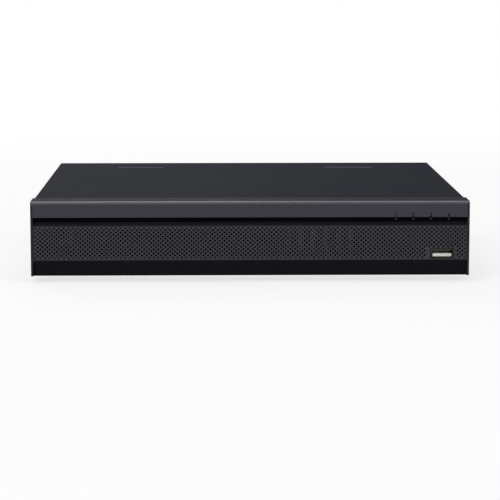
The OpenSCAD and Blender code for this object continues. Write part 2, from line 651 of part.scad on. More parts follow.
module hdmi_shell() color([0.75, 0.73, 0.7]) {
  on_board(hdmi_at, hdmi_up) translate([0, 0.6, 0]) difference() {
    wall_xz(hdmi_d) polygon(hdmi_points(0));
    translate([0, 1, 0]) wall_xz(hdmi_d + 0.6) polygon(hdmi_points(-hdmi_wall));
  }
  // four legs that stand on the board
  for (sx = [-1, 1], y = [-2.4, -9.4]) on_board(hdmi_at, 0) translate([sx * 4.2 - 0.6, y, 0])
    cube([1.2, 1.2, hdmi_up - hdmi_h / 2 + 0.2]);
}

module hdmi_tongue() color([0.06, 0.06, 0.07]) on_board(hdmi_at, hdmi_up) {
  translate([0, 0.6 - hdmi_d + 2.1, 0]) wall_xz(1.6) polygon(hdmi_points(-hdmi_wall - fit));
  translate([-6, 0.6 - hdmi_d + 2, -0.4]) cube([12, hdmi_d - 3.2, 1.1]);
}

module lan_shield() color([0.8, 0.78, 0.72]) on_board(lan_at, 0) difference() {
  translate([-lan_w / 2, 0.6 - lan_d, 0]) cube([lan_w, lan_d, lan_h]);
  translate([-lan_w / 2 + lan_wall, 0.6 - lan_d - 1, -1])
    cube([lan_w - 2 * lan_wall, lan_d + 1 - lan_wall, lan_h + 1 - lan_wall]);
  translate([-lan_w / 2 + lan_frame, -3, lan_frame]) cube([lan_w - 2 * lan_frame, 6,
    lan_h - lan_frame - 1]);
}

module lan_insert() color([0.05, 0.05, 0.06]) on_board(lan_at, 0) difference() {
  translate([-lan_w / 2 + lan_wall + fit, 0.6 - lan_d + 0.4, 0.2])
    cube([lan_w - 2 * lan_wall - 2 * fit, lan_d - 0.4 - lan_wall - fit, lan_h - lan_wall - fit - 0.2]);
  // plug cavity, latch slot and lamp pockets
  translate([-5.95, -12, 2.1]) cube([11.9, 14, 7.2]);
  translate([-3.25, -9, 9.2]) cube([6.5, 11, 3]);
  for (s = [-1, 1]) translate([s * 5 - 1.45, -4, lan_h - lan_wall - 3.1]) cube([2.9, 6, 2.1]);
}

module lan_contacts() color([0.85, 0.68, 0.3]) for (i = [-3.5:3.5])
  on_board(lan_at, 2.1) translate([i * 1.27 - 0.2, 0, 0]) rotate([90, 0, 90]) linear_extrude(0.4)
    polygon([[-10.5, 0], [-2.5, 0], [-2.5, 0.4], [-3.2, 0.4], [-9.5, 3.2], [-10.4, 3.2], [-4.6, 0.4],
      [-10.5, 0.4]]);

module lan_led(s) on_board(lan_at, lan_h - lan_wall - 3.05) translate([s * 5 - 1.35, -3.9, 0])
  cube([2.7, 3.9, 2]);
module lan_led_yellow() color([0.9, 0.85, 0.1]) lan_led(1);
module lan_led_green() color([0.35, 0.75, 0.3]) lan_led(-1);

// the terminal block: two poles under the levers, and a taller end wall
term_x0 = term_w / 2;
module terminal_body() color([0.3, 0.62, 0.25]) on_board(term_at, 0) difference() {
  union() {
    translate([-term_w / 2, term_out - term_d, 0]) cube([term_w, term_d, term_h]);
    translate([-term_w / 2, term_out - term_d, 0]) cube([term_w - 2 * pole_pitch - 0.2, term_d - 0.6,
      term_wall_h]);
    translate([-term_w / 2, term_out - term_d, 0]) cube([term_w, 2, term_wall_h + 1.2]);
  }
  // grooves that the levers' keels slide in
  for (i = [0, 1]) translate([term_x0 - (i + 0.5) * pole_pitch - keel_w / 2 - seat,
    keel_y - lever_travel - seat, term_h - keel_h - seat])
    cube([keel_w + 2 * seat, keel_l + lever_travel + 2 * seat, 2]);
  for (i = [0, 1]) translate([term_x0 - (i + 0.5) * pole_pitch, term_out + e, term_hole_up]) {
    rotate([90, 0, 0]) cylinder(r = 1, h = 8, $fn = 32);
    // pocket for the clamp
    translate([-0.95, -9.6, -5.2]) cube([1.9, 2.4, 6.2]);
  }
}

module terminal_lever(i) color([0.8, 0.08, 0.08]) on_board(term_at, term_h)
  translate([term_x0 - (i + 0.5) * pole_pitch, 0, 0]) difference() {
    union() {
      translate([-lever_w / 2, keel_y, fit]) cube([lever_w, term_out - lever_out - keel_y,
        lever_h - lever_w / 2]);
      translate([0, term_out - lever_out, lever_h - lever_w / 2]) rotate([90, 0, 0])
        cylinder(r = lever_w / 2, h = term_out - lever_out - keel_y, $fn = 32);
      translate([-keel_w / 2, keel_y, -keel_h]) cube([keel_w, keel_l, keel_h + 1]);
    }
    translate([-0.4, term_out - lever_out - 0.7, 0.9]) cube([0.8, 2, lever_h - 2.4]);
  }

module terminal_clamps() color([0.8, 0.8, 0.78]) for (i = [0, 1]) on_board(term_at, term_hole_up)
  translate([term_x0 - (i + 0.5) * pole_pitch, term_out - 9.5, 0]) rotate([90, 0, 90])
    translate([0, 0, -0.8])
    linear_extrude(1.6) polygon([[0, -5.1], [2.2, -5.1], [2.2, -4.7], [0.4, -4.7], [0.4, 0.4], [1, -0.7],
      [1.3, -0.5], [0.5, 0.9], [0, 0.9]]);

module usb_shell_at() difference() {
  wall_xz(usb_l) square([usb_shell_w, usb_shell_h], center = true);
  translate([0, 1, 0]) wall_xz(usb_l + 0.6) square([usb_shell_w - 2 * usb_wall,
    usb_shell_h - 2 * usb_wall], center = true);
}
module usb_tongue_at(z) {
  translate([-usb_shell_w / 2 + usb_wall + fit, -usb_l + usb_wall + 0.1, -usb_shell_h / 2 + usb_wall + fit])
    cube([usb_shell_w - 2 * (usb_wall + fit), 2.4, usb_shell_h - 2 * (usb_wall + fit)]);
  translate([-5.55, -usb_l + 2.4, z - 0.9]) cube([11.1, usb_l - 3.4, 1.8]);
}
module at_usb_rear() on_board(usb_at, usb_up) translate([0, 0.5, 0]) children();
module at_usb_front() translate([bezel_w / 2 - usb_in, front_usb_y, base_z + usb_z]) rotate(180) children();
module usb_shells() color([0.78, 0.76, 0.72]) {
  at_usb_rear() usb_shell_at();
  at_usb_front() usb_shell_at();
  for (sx = [-1, 1], y = [-2.5, -11]) on_board(usb_at, 0) translate([sx * 5.4 - 0.6, y, 0])
    cube([1.2, 1.2, usb_up - usb_shell_h / 2 + 0.1]);
}
module usb_tongue_rear() color([0.08, 0.08, 0.09]) at_usb_rear() usb_tongue_at(0.9);
module usb_tongue_front() color([0.93, 0.93, 0.9]) at_usb_front() usb_tongue_at(-0.9);

module dc_jack_body() color([0.04, 0.04, 0.05]) on_board(dc_at, 0) difference() {
  translate([-dc_w / 2, 0.4 - 14, 0]) cube([dc_w, 14, dc_h]);
  translate([0, 0.4 + e, dc_up]) rotate([90, 0, 0]) cylinder(r = dc_r, h = 9.2, $fn = 64);
  translate([0, -8, dc_up]) rotate([90, 0, 0]) cylinder(r = dc_root_r + fit, h = 8, $fn = 32);
}
module dc_jack_pin() color([0.8, 0.78, 0.7]) on_board(dc_at, dc_up) translate([0, -12, 0]) along_y()
  rotate_extrude($fn = 48) polygon([
    [0, 0], [dc_root_r, 0], [dc_root_r, 3.4], [dc_pin_r, 3.4], [dc_pin_r, 10.8], [dc_pin_r - 0.4, 11.4],
      [0, 11.4]]);

// ---------- monitor socket ----------
module vga_shell() color([0.8, 0.79, 0.76]) on_board(vga_at, vga_up) difference() {
  union() {
    translate([0, -sheet, 0]) wall_xz(0.6) difference() {
      rounded(vga_flange_w, vga_flange_h, 1);
      for (s = [-1, 1]) translate([s * vga_span / 2, 0]) circle(r = 1.45, $fn = 32);
    }
    translate([0, vga_reach, 0]) wall_xz(vga_reach + sheet + 0.3) polygon(d_points(vga_w, vga_h, 2.4, 10));
  }
  translate([0, vga_reach + 1, 0]) wall_xz(vga_reach + sheet + 4)
    polygon(d_points(vga_w - 2 * vga_wall, vga_h - 2 * vga_wall, 1.9, 10));
}

pin_x = 2.29;
pin_z = 1.98;
module vga_insert() color([0.1, 0.25, 0.8]) on_board(vga_at, vga_up) difference() {
  union() {
    translate([0, vga_reach - 0.3, 0]) wall_xz(vga_reach + sheet + 3)
      polygon(d_points(vga_w - 2 * vga_wall - 2 * fit, vga_h - 2 * vga_wall - 2 * fit, 1.85, 10));
    // housing behind the panel, with a riser down to the board
    translate([-vga_flange_w / 2, -sheet - 0.6 - 13, -vga_flange_h / 2])
      cube([vga_flange_w, 13, vga_flange_h]);
    translate([-vga_flange_w / 2, -sheet - 0.6 - 20, -vga_up])
      cube([vga_flange_w, 3, vga_up + vga_flange_h / 2]);
    translate([-vga_flange_w / 2, -sheet - 0.6 - 18, 0]) cube([vga_flange_w, 6, vga_flange_h / 2]);
  }
  for (row = [-1, 0, 1], i = [-2:2])
    translate([i * pin_x + (row == 0 ? pin_x / 2 : 0) - 0.4, vga_reach, row * pin_z]) rotate([90, 0, 0])
      cylinder(r = 0.5, h = 5, $fn = 16);
  for (s = [-1, 1]) translate([s * vga_span / 2, 0, 0]) rotate([90, 0, 0])
    cylinder(r = 1.35 + fit, h = 7, $fn = 32);
}

module vga_posts() color([0.75, 0.73, 0.68]) for (s = [-1, 1]) on_board(vga_at, vga_up)
  translate([s * vga_span / 2, 0, 0]) along_y() difference() {
    union() {
      cylinder(d = post_af / cos(30), h = post_out, $fn = 6);
      translate([0, 0, -5]) cylinder(r = 1.35, h = 5 + e, $fn = 32);
    }
    translate([0, 0, post_out - 4.4]) cylinder(r = 1.2, h = 5, $fn = 32);
  }

// ---------- circuit boards ----------
module main_board() color([0.05, 0.3, 0.15]) translate([0, 0, base_z + board_z]) linear_extrude(board_t)
  difference() {
  polygon([
    [port_x(board_side), board_back], [board_strip_x, board_back],
      [board_strip_x, board_back - board_strip],
    [board_inner_x, board_back - board_strip], [board_inner_x, board_back - board_d],
      [port_x(board_side), board_back - board_d]]);
  for (p = standoffs) translate([p.x, p.y]) circle(r = screw_r + 0.15, $fn = 32);
}
// place on the board: from its left edge and its rear edge, as on a board of the drawn size
drawn_w = 130.1;
drawn_d = 114;
function board_x(dx) = port_x(board_side) + dx * (board_inner_x - port_x(board_side)) / drawn_w;
function board_y(dy) = board_back - dy * board_d / drawn_d;
module board_at(dx, dy) translate([board_x(dx), board_y(dy), base_z + board_top]) children();

soc_at = [58, 62];
chips = [ // from the left edge, from the rear edge, width, depth, height
  [92, 44, 10, 10, 1.2], [78, 44, 10, 10, 1.2], [86, 66, 9, 13, 1.1], [86, 84, 9, 13, 1.1],
    [30, 66, 8, 6, 1.2],
  [60, 30, 9, 9, 1], [18, 50, 5, 6, 1.5], [34, 94, 5, 6, 1.6], [64, 96, 8, 5, 1.4], [14, 72, 12, 7, 2]
];
module board_chips() color([0.06, 0.06, 0.07]) {
  board_at(soc_at.x, soc_at.y) block(25, 25, 1.8);
  for (c = chips) board_at(c[0], c[1]) block(c[2], c[3], c[4]);
}

sink_w = 32;
sink_fins = 9;
module heat_sink() color([0.12, 0.12, 0.13]) board_at(soc_at.x, soc_at.y)
  translate([-sink_w / 2, sink_w / 2, 1.8])
  rotate([90, 0, 0]) linear_extrude(sink_w) union() {
    square([sink_w, 2.4]);
    for (i = [0:sink_fins - 1]) translate([i * (sink_w - 1.2) / (sink_fins - 1), 2.4 - e]) square([1.2, 8]);
  }

module board_capacitors() color([0.15, 0.16, 0.2]) {
  for (c = [[10, 40, 4, 11], [20, 34, 4, 11], [12, 88, 3.15, 8], [22, 88, 3.15, 8], [46, 100, 3.15, 7]])
    board_at(c[0], c[1]) rotate_extrude($fn = 48) polygon([
      [0, 0], [c[2], 0], [c[2], 1], [c[2] - 0.25, 1.4], [c[2], 1.8], [c[2], c[3] - 0.4],
        [c[2] - 0.4, c[3]], [0, c[3]]]);
  for (c = [[30, 42, 7, 3.5], [30, 52, 6, 3], [24, 100, 7, 3.5]]) board_at(c[0], c[1]) difference() {
    block(c[2], c[2], c[3]);
    translate([0, 0, c[3] - 0.4]) cylinder(r = c[2] * 0.36, h = 1, $fn = 32);
  }
}

sata_at = [112, 90];
header_at = [80, 106];
plug_l = 11;
cell_at = [104, 64];
cell_r = 10;
cell_h = 3.2;
module board_sockets() color([0.88, 0.87, 0.82]) {
  // data and power socket for the disk
  board_at(sata_at.x, sata_at.y) difference() {
    block(7, 24, 9);
    translate([0, 0, 3]) block(4.6, 21.6, 7);
  }
  // header for the front cable
  board_at(header_at.x, header_at.y) difference() {
    block(14, 5.4, 6.5);
    translate([0, 0, 2]) block(12.4, 3.8, 5);
  }
  // holder of the clock's cell
  board_at(cell_at.x, cell_at.y) difference() {
    cylinder(r = cell_r + 1.2, h = 3.8, $fn = 48);
    translate([0, 0, 0.9]) cylinder(r = cell_r + seat, h = 5, $fn = 48);
    translate([-4, 4, 0.9]) cube([8, 12, 5]);
  }
}
module coin_cell() color([0.8, 0.8, 0.8]) board_at(cell_at.x, cell_at.y) translate([0, 0, 0.9])
  rotate_extrude($fn = 64) polygon([[0, 0], [cell_r - 1, 0], [cell_r, 0.8], [cell_r, cell_h - 0.3],
    [cell_r - 0.3, cell_h], [0, cell_h]]);

front_board_w = 52;
front_board_x = bezel_w / 2 - 34;
front_board_z = 6;
front_board_top = lamp_z + 3.7;
front_header_x = front_board_x;
front_header_z = lamp_z - 2.3;
module front_board() color([0.05, 0.3, 0.15]) translate([0, front_board_y, base_z]) {
  translate([front_board_x, board_t, front_board_z]) wall_xz(board_t) translate([-front_board_w / 2, 0])
    square([front_board_w, front_board_top - front_board_z]);
  // spacers against the front flange, the header of its cable, and the lamps behind the light pipes
  for (x = [-1, 1] * (front_board_w / 2 - 5), z = [front_board_z + 4, lamp_z - 1.3])
    translate([front_board_x + x, board_t - e, z]) along_y()
      cylinder(r = 2, h = flange_y - front_board_y - board_t + e, $fn = 32);
  translate([front_header_x - 6.5, board_t - e, front_header_z]) cube([13, 5, 5]);
  for (i = [0:3]) translate([bezel_w / 2 - lamp_in - i * lamp_pitch - 1, -lamp_t, lamp_z - 0.7])
    cube([2, lamp_t + e, 1.4]);
}

// ---------- hard disk ----------
module at_hdd(z) translate([hdd_x, hdd_y, base_z + hdd_z + z]) children();
spindle = [0, -21.5];
pcb_w = 70;                               // the drive's own board
pcb_l = 118;
plug_y = 66;                              // where its plug begins, and the plug's width
blade_w = 36;
pivot = [27, 31];
lid_t = 1.2;
floor_t = 6;
chamber_r = platter_r + 0.9;
deck = hdd_h - lid_t;
spindle_r = 3;
pivot_r = 2.5;
disk_z = [10, 14];
disk_t = 1.2;
arm_l = 50;
park_angle = -170.4;                      // the arm's tip rests just off the platters' edge
coil_z = 10.8;

module hdd_base() color([0.55, 0.56, 0.58]) at_hdd(0) {
  difference() {
    linear_extrude(deck) rounded(hdd_w, hdd_l, 3);
    // platter chamber and actuator bay
    translate([spindle.x, spindle.y, floor_t]) cylinder(r = chamber_r, h = hdd_h, $fn = 128);
    translate([-44, 8, floor_t]) cube([90, 54, hdd_h]);
    // recess for the drive's own board
    translate([-pcb_w / 2 - 1, -50, -e]) cube([pcb_w + 2, 130, 2.2]);
    translate([-2 - seat, plug_y - seat, 2]) cube([blade_w + 2 * seat, hdd_l, 4 + seat]);
    for (sx = [-1, 1], dy = [18, 62.45]) translate([sx * (hdd_w / 2 - 3.2), hdd_l / 2 - 23.3 - dy, -e])
      cylinder(r = 1.6, h = 4, $fn = 32);
  }
  translate([spindle.x, spindle.y, floor_t - e]) cylinder(r = spindle_r, h = 10.4, $fn = 48);
  translate([pivot.x, pivot.y, floor_t - e]) cylinder(r = pivot_r, h = 12, $fn = 48);
  // magnet under the arm's coil
  translate([pivot.x, pivot.y, floor_t - e]) linear_extrude(coil_z - floor_t - 0.6) difference() {
    polygon(concat([[0, 0]], arc_points(0, 0, 18.2, park_angle - 180 - 24, park_angle - 180 + 52, 12)));
    circle(r = 9, $fn = 48);
  }
}

module hdd_lid() color([0.7, 0.71, 0.73]) at_hdd(deck) difference() {
  linear_extrude(lid_t) rounded(hdd_w - 1, hdd_l - 1, 3);
  // stepped rim, breather and the covers over the lid's screws
  translate([0, 0, lid_t - 0.3]) difference() {
    block(hdd_w + 2, hdd_l + 2, 1);
    translate([0, 0, -1]) linear_extrude(3) rounded(hdd_w - 9, hdd_l - 9, 4);
  }
  translate([spindle.x, spindle.y, lid_t - 0.3]) ring(26, 22, 1);
  translate([-34, 54, -e]) cylinder(r = 1, h = 3, $fn = 24);
  for (sx = [-1, 1], y = [-68, 0, 68]) translate([sx * 46.5, y, lid_t - 0.8])
    cylinder(r = 2.4, h = 1, $fn = 32);
}

hub_r = 12.5;
module hdd_hub() color([0.75, 0.76, 0.78]) at_hdd(0) translate([spindle.x, spindle.y, 0]) {
  translate([0, 0, floor_t + 0.3]) difference() {
    union() {
      cylinder(r = 14.5, h = disk_z[0] - floor_t - 0.3, $fn = 64);
      cylinder(r = hub_r, h = disk_z[1] + disk_t - floor_t - 0.3, $fn = 64);
    }
    translate([0, 0, -e]) cylinder(r = spindle_r + fit, h = 20, $fn = 48);
  }
  translate([0, 0, disk_z[0] + disk_t]) ring(14.5, hub_r + fit, disk_z[1] - disk_z[0] - disk_t);
  translate([0, 0, disk_z[1] + disk_t]) difference() {
    cylinder(r = 15.5, h = 1.2, $fn = 64);
    translate([0, 0, -e]) cylinder(r = spindle_r + 1.5, h = 3, $fn = 48);
    for (a = [0:60:300]) rotate(a) translate([9, 0, -e]) cylinder(r = 1.1, h = 3, $fn = 24);
  }
}
module hdd_platters() color([0.85, 0.86, 0.88]) at_hdd(0) for (z = disk_z)
  translate([spindle.x, spindle.y, z]) ring(platter_r, hub_r + fit, disk_t);

module hdd_arm() color([0.72, 0.72, 0.74]) at_hdd(0) translate([pivot.x, pivot.y, 0]) difference() {
  union() {
    translate([0, 0, floor_t + 0.3]) cylinder(r = 7, h = 16.7 - floor_t, $fn = 48);
    // three fingers, between and beside the platters
    rotate(park_angle) for (z = [8.2, 12, 15.9]) translate([0, 0, z]) linear_extrude(z == 12 ? 1.2 : 1.1)
      polygon([[0, -5.5], [16, -4.5], [arm_l - 4, -1.2], [arm_l, -1.2], [arm_l, 1.2], [arm_l - 4, 1.2],
        [16, 4.5], [0, 5.5]]);
    // voice coil behind the pivot
    rotate(park_angle) translate([0, 0, coil_z]) linear_extrude(3.2) difference() {
      polygon([[0, -5], [-6, -7], [-16.5, -9], [-16.5, 9], [-6, 7], [0, 5]]);
      polygon([[-8, -3.4], [-13.5, -5], [-13.5, 5], [-8, 3.4]]);
    }
  }
  translate([0, 0, floor_t]) cylinder(r = pivot_r + fit, h = 12, $fn = 48);
}

module hdd_board() color([0.05, 0.25, 0.14]) at_hdd(0) {
  translate([-pcb_w / 2, -49, 0.9]) cube([pcb_w, pcb_l, 1.28]);
  // plug blade block at the connector end
  translate([-2, plug_y, 2.1]) cube([blade_w, hdd_l / 2 - plug_y, 3.9]);
}
module hdd_screws() color([0.8, 0.78, 0.72]) for (p = hdd_holes) translate([p.x, p.y, base_z])
  rotate([180, 0, 0])
  pan_screw(3.2, 1.6, 1.55, hdd_z + 3.4);

// ---------- internal cables ----------
// A tube swept along points: each ring lies across the line through its two neighbours
function flat_ring(sides, rx, rz) = [for (i = [0:sides - 1]) [rx * cos(i * 360 / sides),
  rz * sin(i * 360 / sides)]];
function unit(v) = v / norm(v);
function ring_at(p, t, sides, rx, rz) = let (side = unit(cross(t, [0, 0, 1])), up = cross(side, t))
  [for (q = flat_ring(sides, rx, rz)) p + side * q.x + up * q.y];
// Catmull-Rom points between the chosen ones
function spline(p, a, b, c, d) = 0.5 * ((2 * b) + (c - a) * p + (2 * a - 5 * b + 4 * c - d) * p * p
  + (3 * b - a - 3 * c + d) * p * p * p);
function smooth(pts, n) = concat([for (i = [0:len(pts) - 2], k = [0:n - 1])
  spline(k / n, pts[max(i - 1, 0)], pts[i], pts[i + 1], pts[min(i + 2, len(pts) - 1)])],
    [pts[len(pts) - 1]]);
module tube(pts, sides, rx, rz) {
  n = len(pts);
  rings = [for (i = [0:n - 1]) ring_at(pts[i], unit(pts[min(i + 1, n - 1)] - pts[max(i - 1, 0)]), sides,
    rx, rz)];
  polyhedron([for (r = rings, q = r) q], concat(
    [[for (i = [sides - 1:-1:0]) i]],
    [for (k = [0:n - 2], i = [0:sides - 1]) let (j = (i + 1) % sides, a = k * sides,
      b = a + sides) [a + i, a + j, b + j, b + i]],
    [[for (i = [0:sides - 1]) (n - 1) * sides + i]]), convexity = 6);
}

module sata_cable() color([0.7, 0.12, 0.1]) {
  // plug at the drive, flat lead round the drive's corner, and angled plug on the board
  start = [hdd_x + 16, hdd_y + hdd_l / 2 + plug_l, base_z + hdd_z + 5];
  finish = [board_x(sata_at.x), board_y(sata_at.y) + 10.6, base_z + board_top + 11];
  tube(smooth([start - [0, 2, 0], start + [0, 3, 0], start + [-4, 8, 1], start + [-14, 10, 4],
    start + [-30, 9, 8],
    start + [-50, 7, 12], finish + [18, 33, 6], finish + [10, 20, 5], finish + [3, 9, 2],
      finish + [0, 3, 0],
    finish - [0, 2, 0]], 4), 8, 3, 0.9);
  translate([start.x - 18, hdd_y + hdd_l / 2 + seat, start.z - 3.2]) cube([36, plug_l - seat, 6.4]);
  translate([finish.x - 2.2, finish.y - 21.2, finish.z - 8]) cube([4.4, 21.2, 11]);
}

module front_cable() color([0.1, 0.1, 0.11]) {
  // ribbon from the front board, over the drive and down to the main board
  start = [front_header_x, front_board_y + board_t + 9, base_z + front_header_z + 2.5];
  finish = [board_x(header_at.x), board_y(header_at.y) - 1.7, base_z + board_top + 8];
  tube(smooth([start - [0, 1, 0], start + [0, 4, 0.3], start + [-3, 12, 1], start + [-14, 24, 1.5],
    start + [-34, 34, 1.5],
    start + [-62, 42, 1.5], finish + [48, -40, 19], finish + [30, -31, 12], finish + [14, -20, 4],
      finish + [3, -10, 0.5],
    finish + [0, -4, 0], finish + [0, 1, 0]], 4), 8, 4.5, 0.7);
  translate([start.x - 5.5, start.y - 4 + seat, start.z - 2]) cube([11, 4 - seat, 4]);
  translate([finish.x - 6, finish.y, finish.z - 6]) cube([12, 3.4, 7.5]);
}

chassis();
rear_panel();
top_cover();
front_bezel();
grille_panel();
indicator_strip();
light_pipes();
feet();
cover_screws();
ground_screw();
board_screws();
bnc_shell(0);  // bnc_shell_1
bnc_shell(1);  // bnc_shell_2
bnc_shell(2);  // bnc_shell_3
bnc_shell(3);  // bnc_shell_4
bnc_shell(4);  // bnc_shell_5
bnc_shell(5);  // bnc_shell_6
bnc_shell(6);  // bnc_shell_7
bnc_shell(7);  // bnc_shell_8
bnc_insulators();
bnc_contacts();
bnc_blocks();
rca_block();
rca_shells();
rca_inserts();
hdmi_shell();
hdmi_tongue();
lan_shield();
lan_insert();
lan_contacts();
lan_led_yellow();
lan_led_green();
terminal_body();
terminal_lever(0);  // terminal_lever_1
terminal_lever(1);  // terminal_lever_2
terminal_clamps();
usb_shells();
usb_tongue_rear();
usb_tongue_front();
dc_jack_body();
dc_jack_pin();
vga_shell();
vga_insert();
vga_posts();
main_board();
board_chips();
heat_sink();
board_capacitors();
board_sockets();
coin_cell();
front_board();
hdd_base();
hdd_lid();
hdd_hub();
hdd_platters();
hdd_arm();
hdd_board();
hdd_screws();
sata_cable();
front_cable();
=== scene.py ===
import json
import math
import bmesh
import bpy
import numpy as np
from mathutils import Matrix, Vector
from mathutils.bvhtree import BVHTree
from mathutils.geometry import delaunay_2d_cdt

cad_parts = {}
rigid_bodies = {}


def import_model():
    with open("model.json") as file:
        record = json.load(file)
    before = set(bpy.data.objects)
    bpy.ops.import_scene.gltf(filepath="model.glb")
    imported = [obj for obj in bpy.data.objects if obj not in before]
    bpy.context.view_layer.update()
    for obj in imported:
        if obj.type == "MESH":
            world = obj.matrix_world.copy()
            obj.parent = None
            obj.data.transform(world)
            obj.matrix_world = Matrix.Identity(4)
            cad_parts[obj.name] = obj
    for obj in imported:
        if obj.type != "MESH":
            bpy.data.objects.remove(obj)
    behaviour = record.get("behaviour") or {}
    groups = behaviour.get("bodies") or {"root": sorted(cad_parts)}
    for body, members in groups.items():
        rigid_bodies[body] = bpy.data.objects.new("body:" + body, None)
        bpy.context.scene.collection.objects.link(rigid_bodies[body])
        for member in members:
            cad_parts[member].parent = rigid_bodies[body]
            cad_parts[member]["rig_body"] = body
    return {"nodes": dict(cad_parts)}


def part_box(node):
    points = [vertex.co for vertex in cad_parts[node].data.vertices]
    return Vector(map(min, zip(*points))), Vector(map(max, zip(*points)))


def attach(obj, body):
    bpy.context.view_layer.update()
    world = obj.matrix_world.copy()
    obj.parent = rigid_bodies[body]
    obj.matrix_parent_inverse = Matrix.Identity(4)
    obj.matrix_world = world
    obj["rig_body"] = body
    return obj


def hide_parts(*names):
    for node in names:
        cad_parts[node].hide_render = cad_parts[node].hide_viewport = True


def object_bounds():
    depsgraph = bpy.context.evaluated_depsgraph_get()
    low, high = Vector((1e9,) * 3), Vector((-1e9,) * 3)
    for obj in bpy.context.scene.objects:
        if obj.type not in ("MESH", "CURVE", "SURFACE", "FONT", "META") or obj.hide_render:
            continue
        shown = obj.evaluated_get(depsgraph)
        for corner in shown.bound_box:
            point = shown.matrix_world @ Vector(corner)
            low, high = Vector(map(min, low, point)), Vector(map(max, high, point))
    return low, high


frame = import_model()        # the imported solids by node, each hung on its body
cadLow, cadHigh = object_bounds()
mm = 0.001
print("frame: %d solids" % len(frame["nodes"]))

photoSize = 500
# places read off the photograph, in its own pixels
imagePoints = {
    "leftEdge": (30.6, 201.5),
    "rightEdge": (469.4, 201.5),
    "backLeft": (59.6, 162.5),
    "backRight": (428.2, 162.5),
    "grooveStart": (117.5, 167.5),
    "grooveEnd": (372.0, 167.5),
    "lampOne": (395.6, 219.0),
    "lampTwo": (413.2, 219.0),
    "lampThree": (431.0, 219.2),
    "lampFour": (448.8, 219.3),
    "numeralOne": (395.6, 215.0),
    "numeralFour": (448.8, 215.2),
    "bandFoot": (32.8, 217.0),
    "grilleTop": (32.8, 226.0),
    "grilleFoot": (467.2, 260.3),
    "usbTongue": (444.6, 256.4),
    "firstHole": (35.0, 228.5),
    "lastHole": (464.85, 258.8),
}
# where the lens stands in mm, how far it turns and dips in degrees, and its focal length
shot = dict(at=(-21.8, -1276.3, 185.45), turn=1.066, dip=8.182, lens=144.36, sensor=36.0, near=0.05, far=30)


def makeCamera():
    lens = bpy.data.cameras.new("shotLens")
    lens.lens, lens.sensor_width, lens.sensor_fit = shot["lens"], shot["sensor"], "AUTO"
    lens.clip_start, lens.clip_end = shot["near"], shot["far"]
    camera = bpy.data.objects.new("shotCamera", lens)
    camera.location = Vector(shot["at"]) * mm
    camera.rotation_euler = (math.radians(90 - shot["dip"]), 0, math.radians(-shot["turn"]))
    bpy.context.scene.collection.objects.link(camera)
    bpy.context.scene.camera = camera
    bpy.context.view_layer.update()
    return camera


camera = makeCamera()


def rayThrough(point):
    # the ray from the lens through a place in the photograph
    lens, size = camera.data, photoSize
    aim = Vector((point[0] - size / 2, size / 2 - point[1], -size * lens.lens / lens.sensor_width))
    return camera.matrix_world.translation, (camera.matrix_world.to_3x3() @ aim).normalized()


def seenAt(places):
    # where places in mm show in the photograph
    lens, size = camera.data, photoSize
    away = np.array(places) * mm - np.array(camera.matrix_world.translation)
    local = away @ np.array(camera.matrix_world.to_3x3())
    scale = size * lens.lens / lens.sensor_width / -local[..., 2]
    return np.stack([size / 2 + local[..., 0] * scale, size / 2 - local[..., 1] * scale], -1)


def onPlane(point, axis, level):
    # the place in mm where the ray through an image point meets a plane across an axis
    start, aim = rayThrough(point)
    return (start + aim * (level * mm - start[axis]) / aim[axis]) / mm


def onSurface(point, tree):
    # the place in mm on a surface that shows at an image point, or the nearest one to the ray
    start, aim = rayThrough(point)
    hit = tree.ray_cast(start, aim)[0]
    if hit is None:
        middle = (cadLow + cadHigh) / 2
        hit = tree.find_nearest(start + aim * (middle - start).dot(aim))[0]
    return np.array(hit) / mm


def linear(red, green, blue):
    # a colour as it is read off a screen, 0 to 255, made linear for the shader
    c = np.array([red, green, blue]) / 255
    c = np.where(c <= 0.04045, c / 12.92, ((c + 0.055) / 1.055) ** 2.4)
    return (*c.tolist(), 1.0)


class Wire:
    # a shader value that Python's own operators work on: each one adds a Math node
    def __init__(self, finish, socket):
        self.finish, self.socket = finish, socket

    def maths(self, operation, *others):
        values = dict(enumerate((self, *others)))
        return self.finish.node("ShaderNodeMath", {"operation": operation}, values)

    def __add__(self, other): return self.maths("ADD", other)
    def __radd__(self, other): return self.maths("ADD", other)
    def __mul__(self, other): return self.maths("MULTIPLY", other)
    def __rmul__(self, other): return self.maths("MULTIPLY", other)
    def __sub__(self, other): return self.maths("SUBTRACT", other)
    def __rsub__(self, other): return (self * -1) + other
    def __gt__(self, other): return self.maths("GREATER_THAN", other)
    def __lt__(self, other): return self.maths("LESS_THAN", other)

    def ramp(self, low, high):
        # 0 below low, 1 above high, smooth between
        return self.finish.node("ShaderNodeMapRange", {"interpolation_type": "SMOOTHSTEP"},
                                {"Value": self, "From Min": low, "From Max": high})

    def between(self, low, high, soft=0.1):
        # 1 from low to high, 0 outside, softened over a little width
        return self.ramp(low - soft, low + soft) * (1 - self.ramp(high - soft, high + soft))

    def size(self):
        # the value without its sign
        return self.maths("ABSOLUTE")


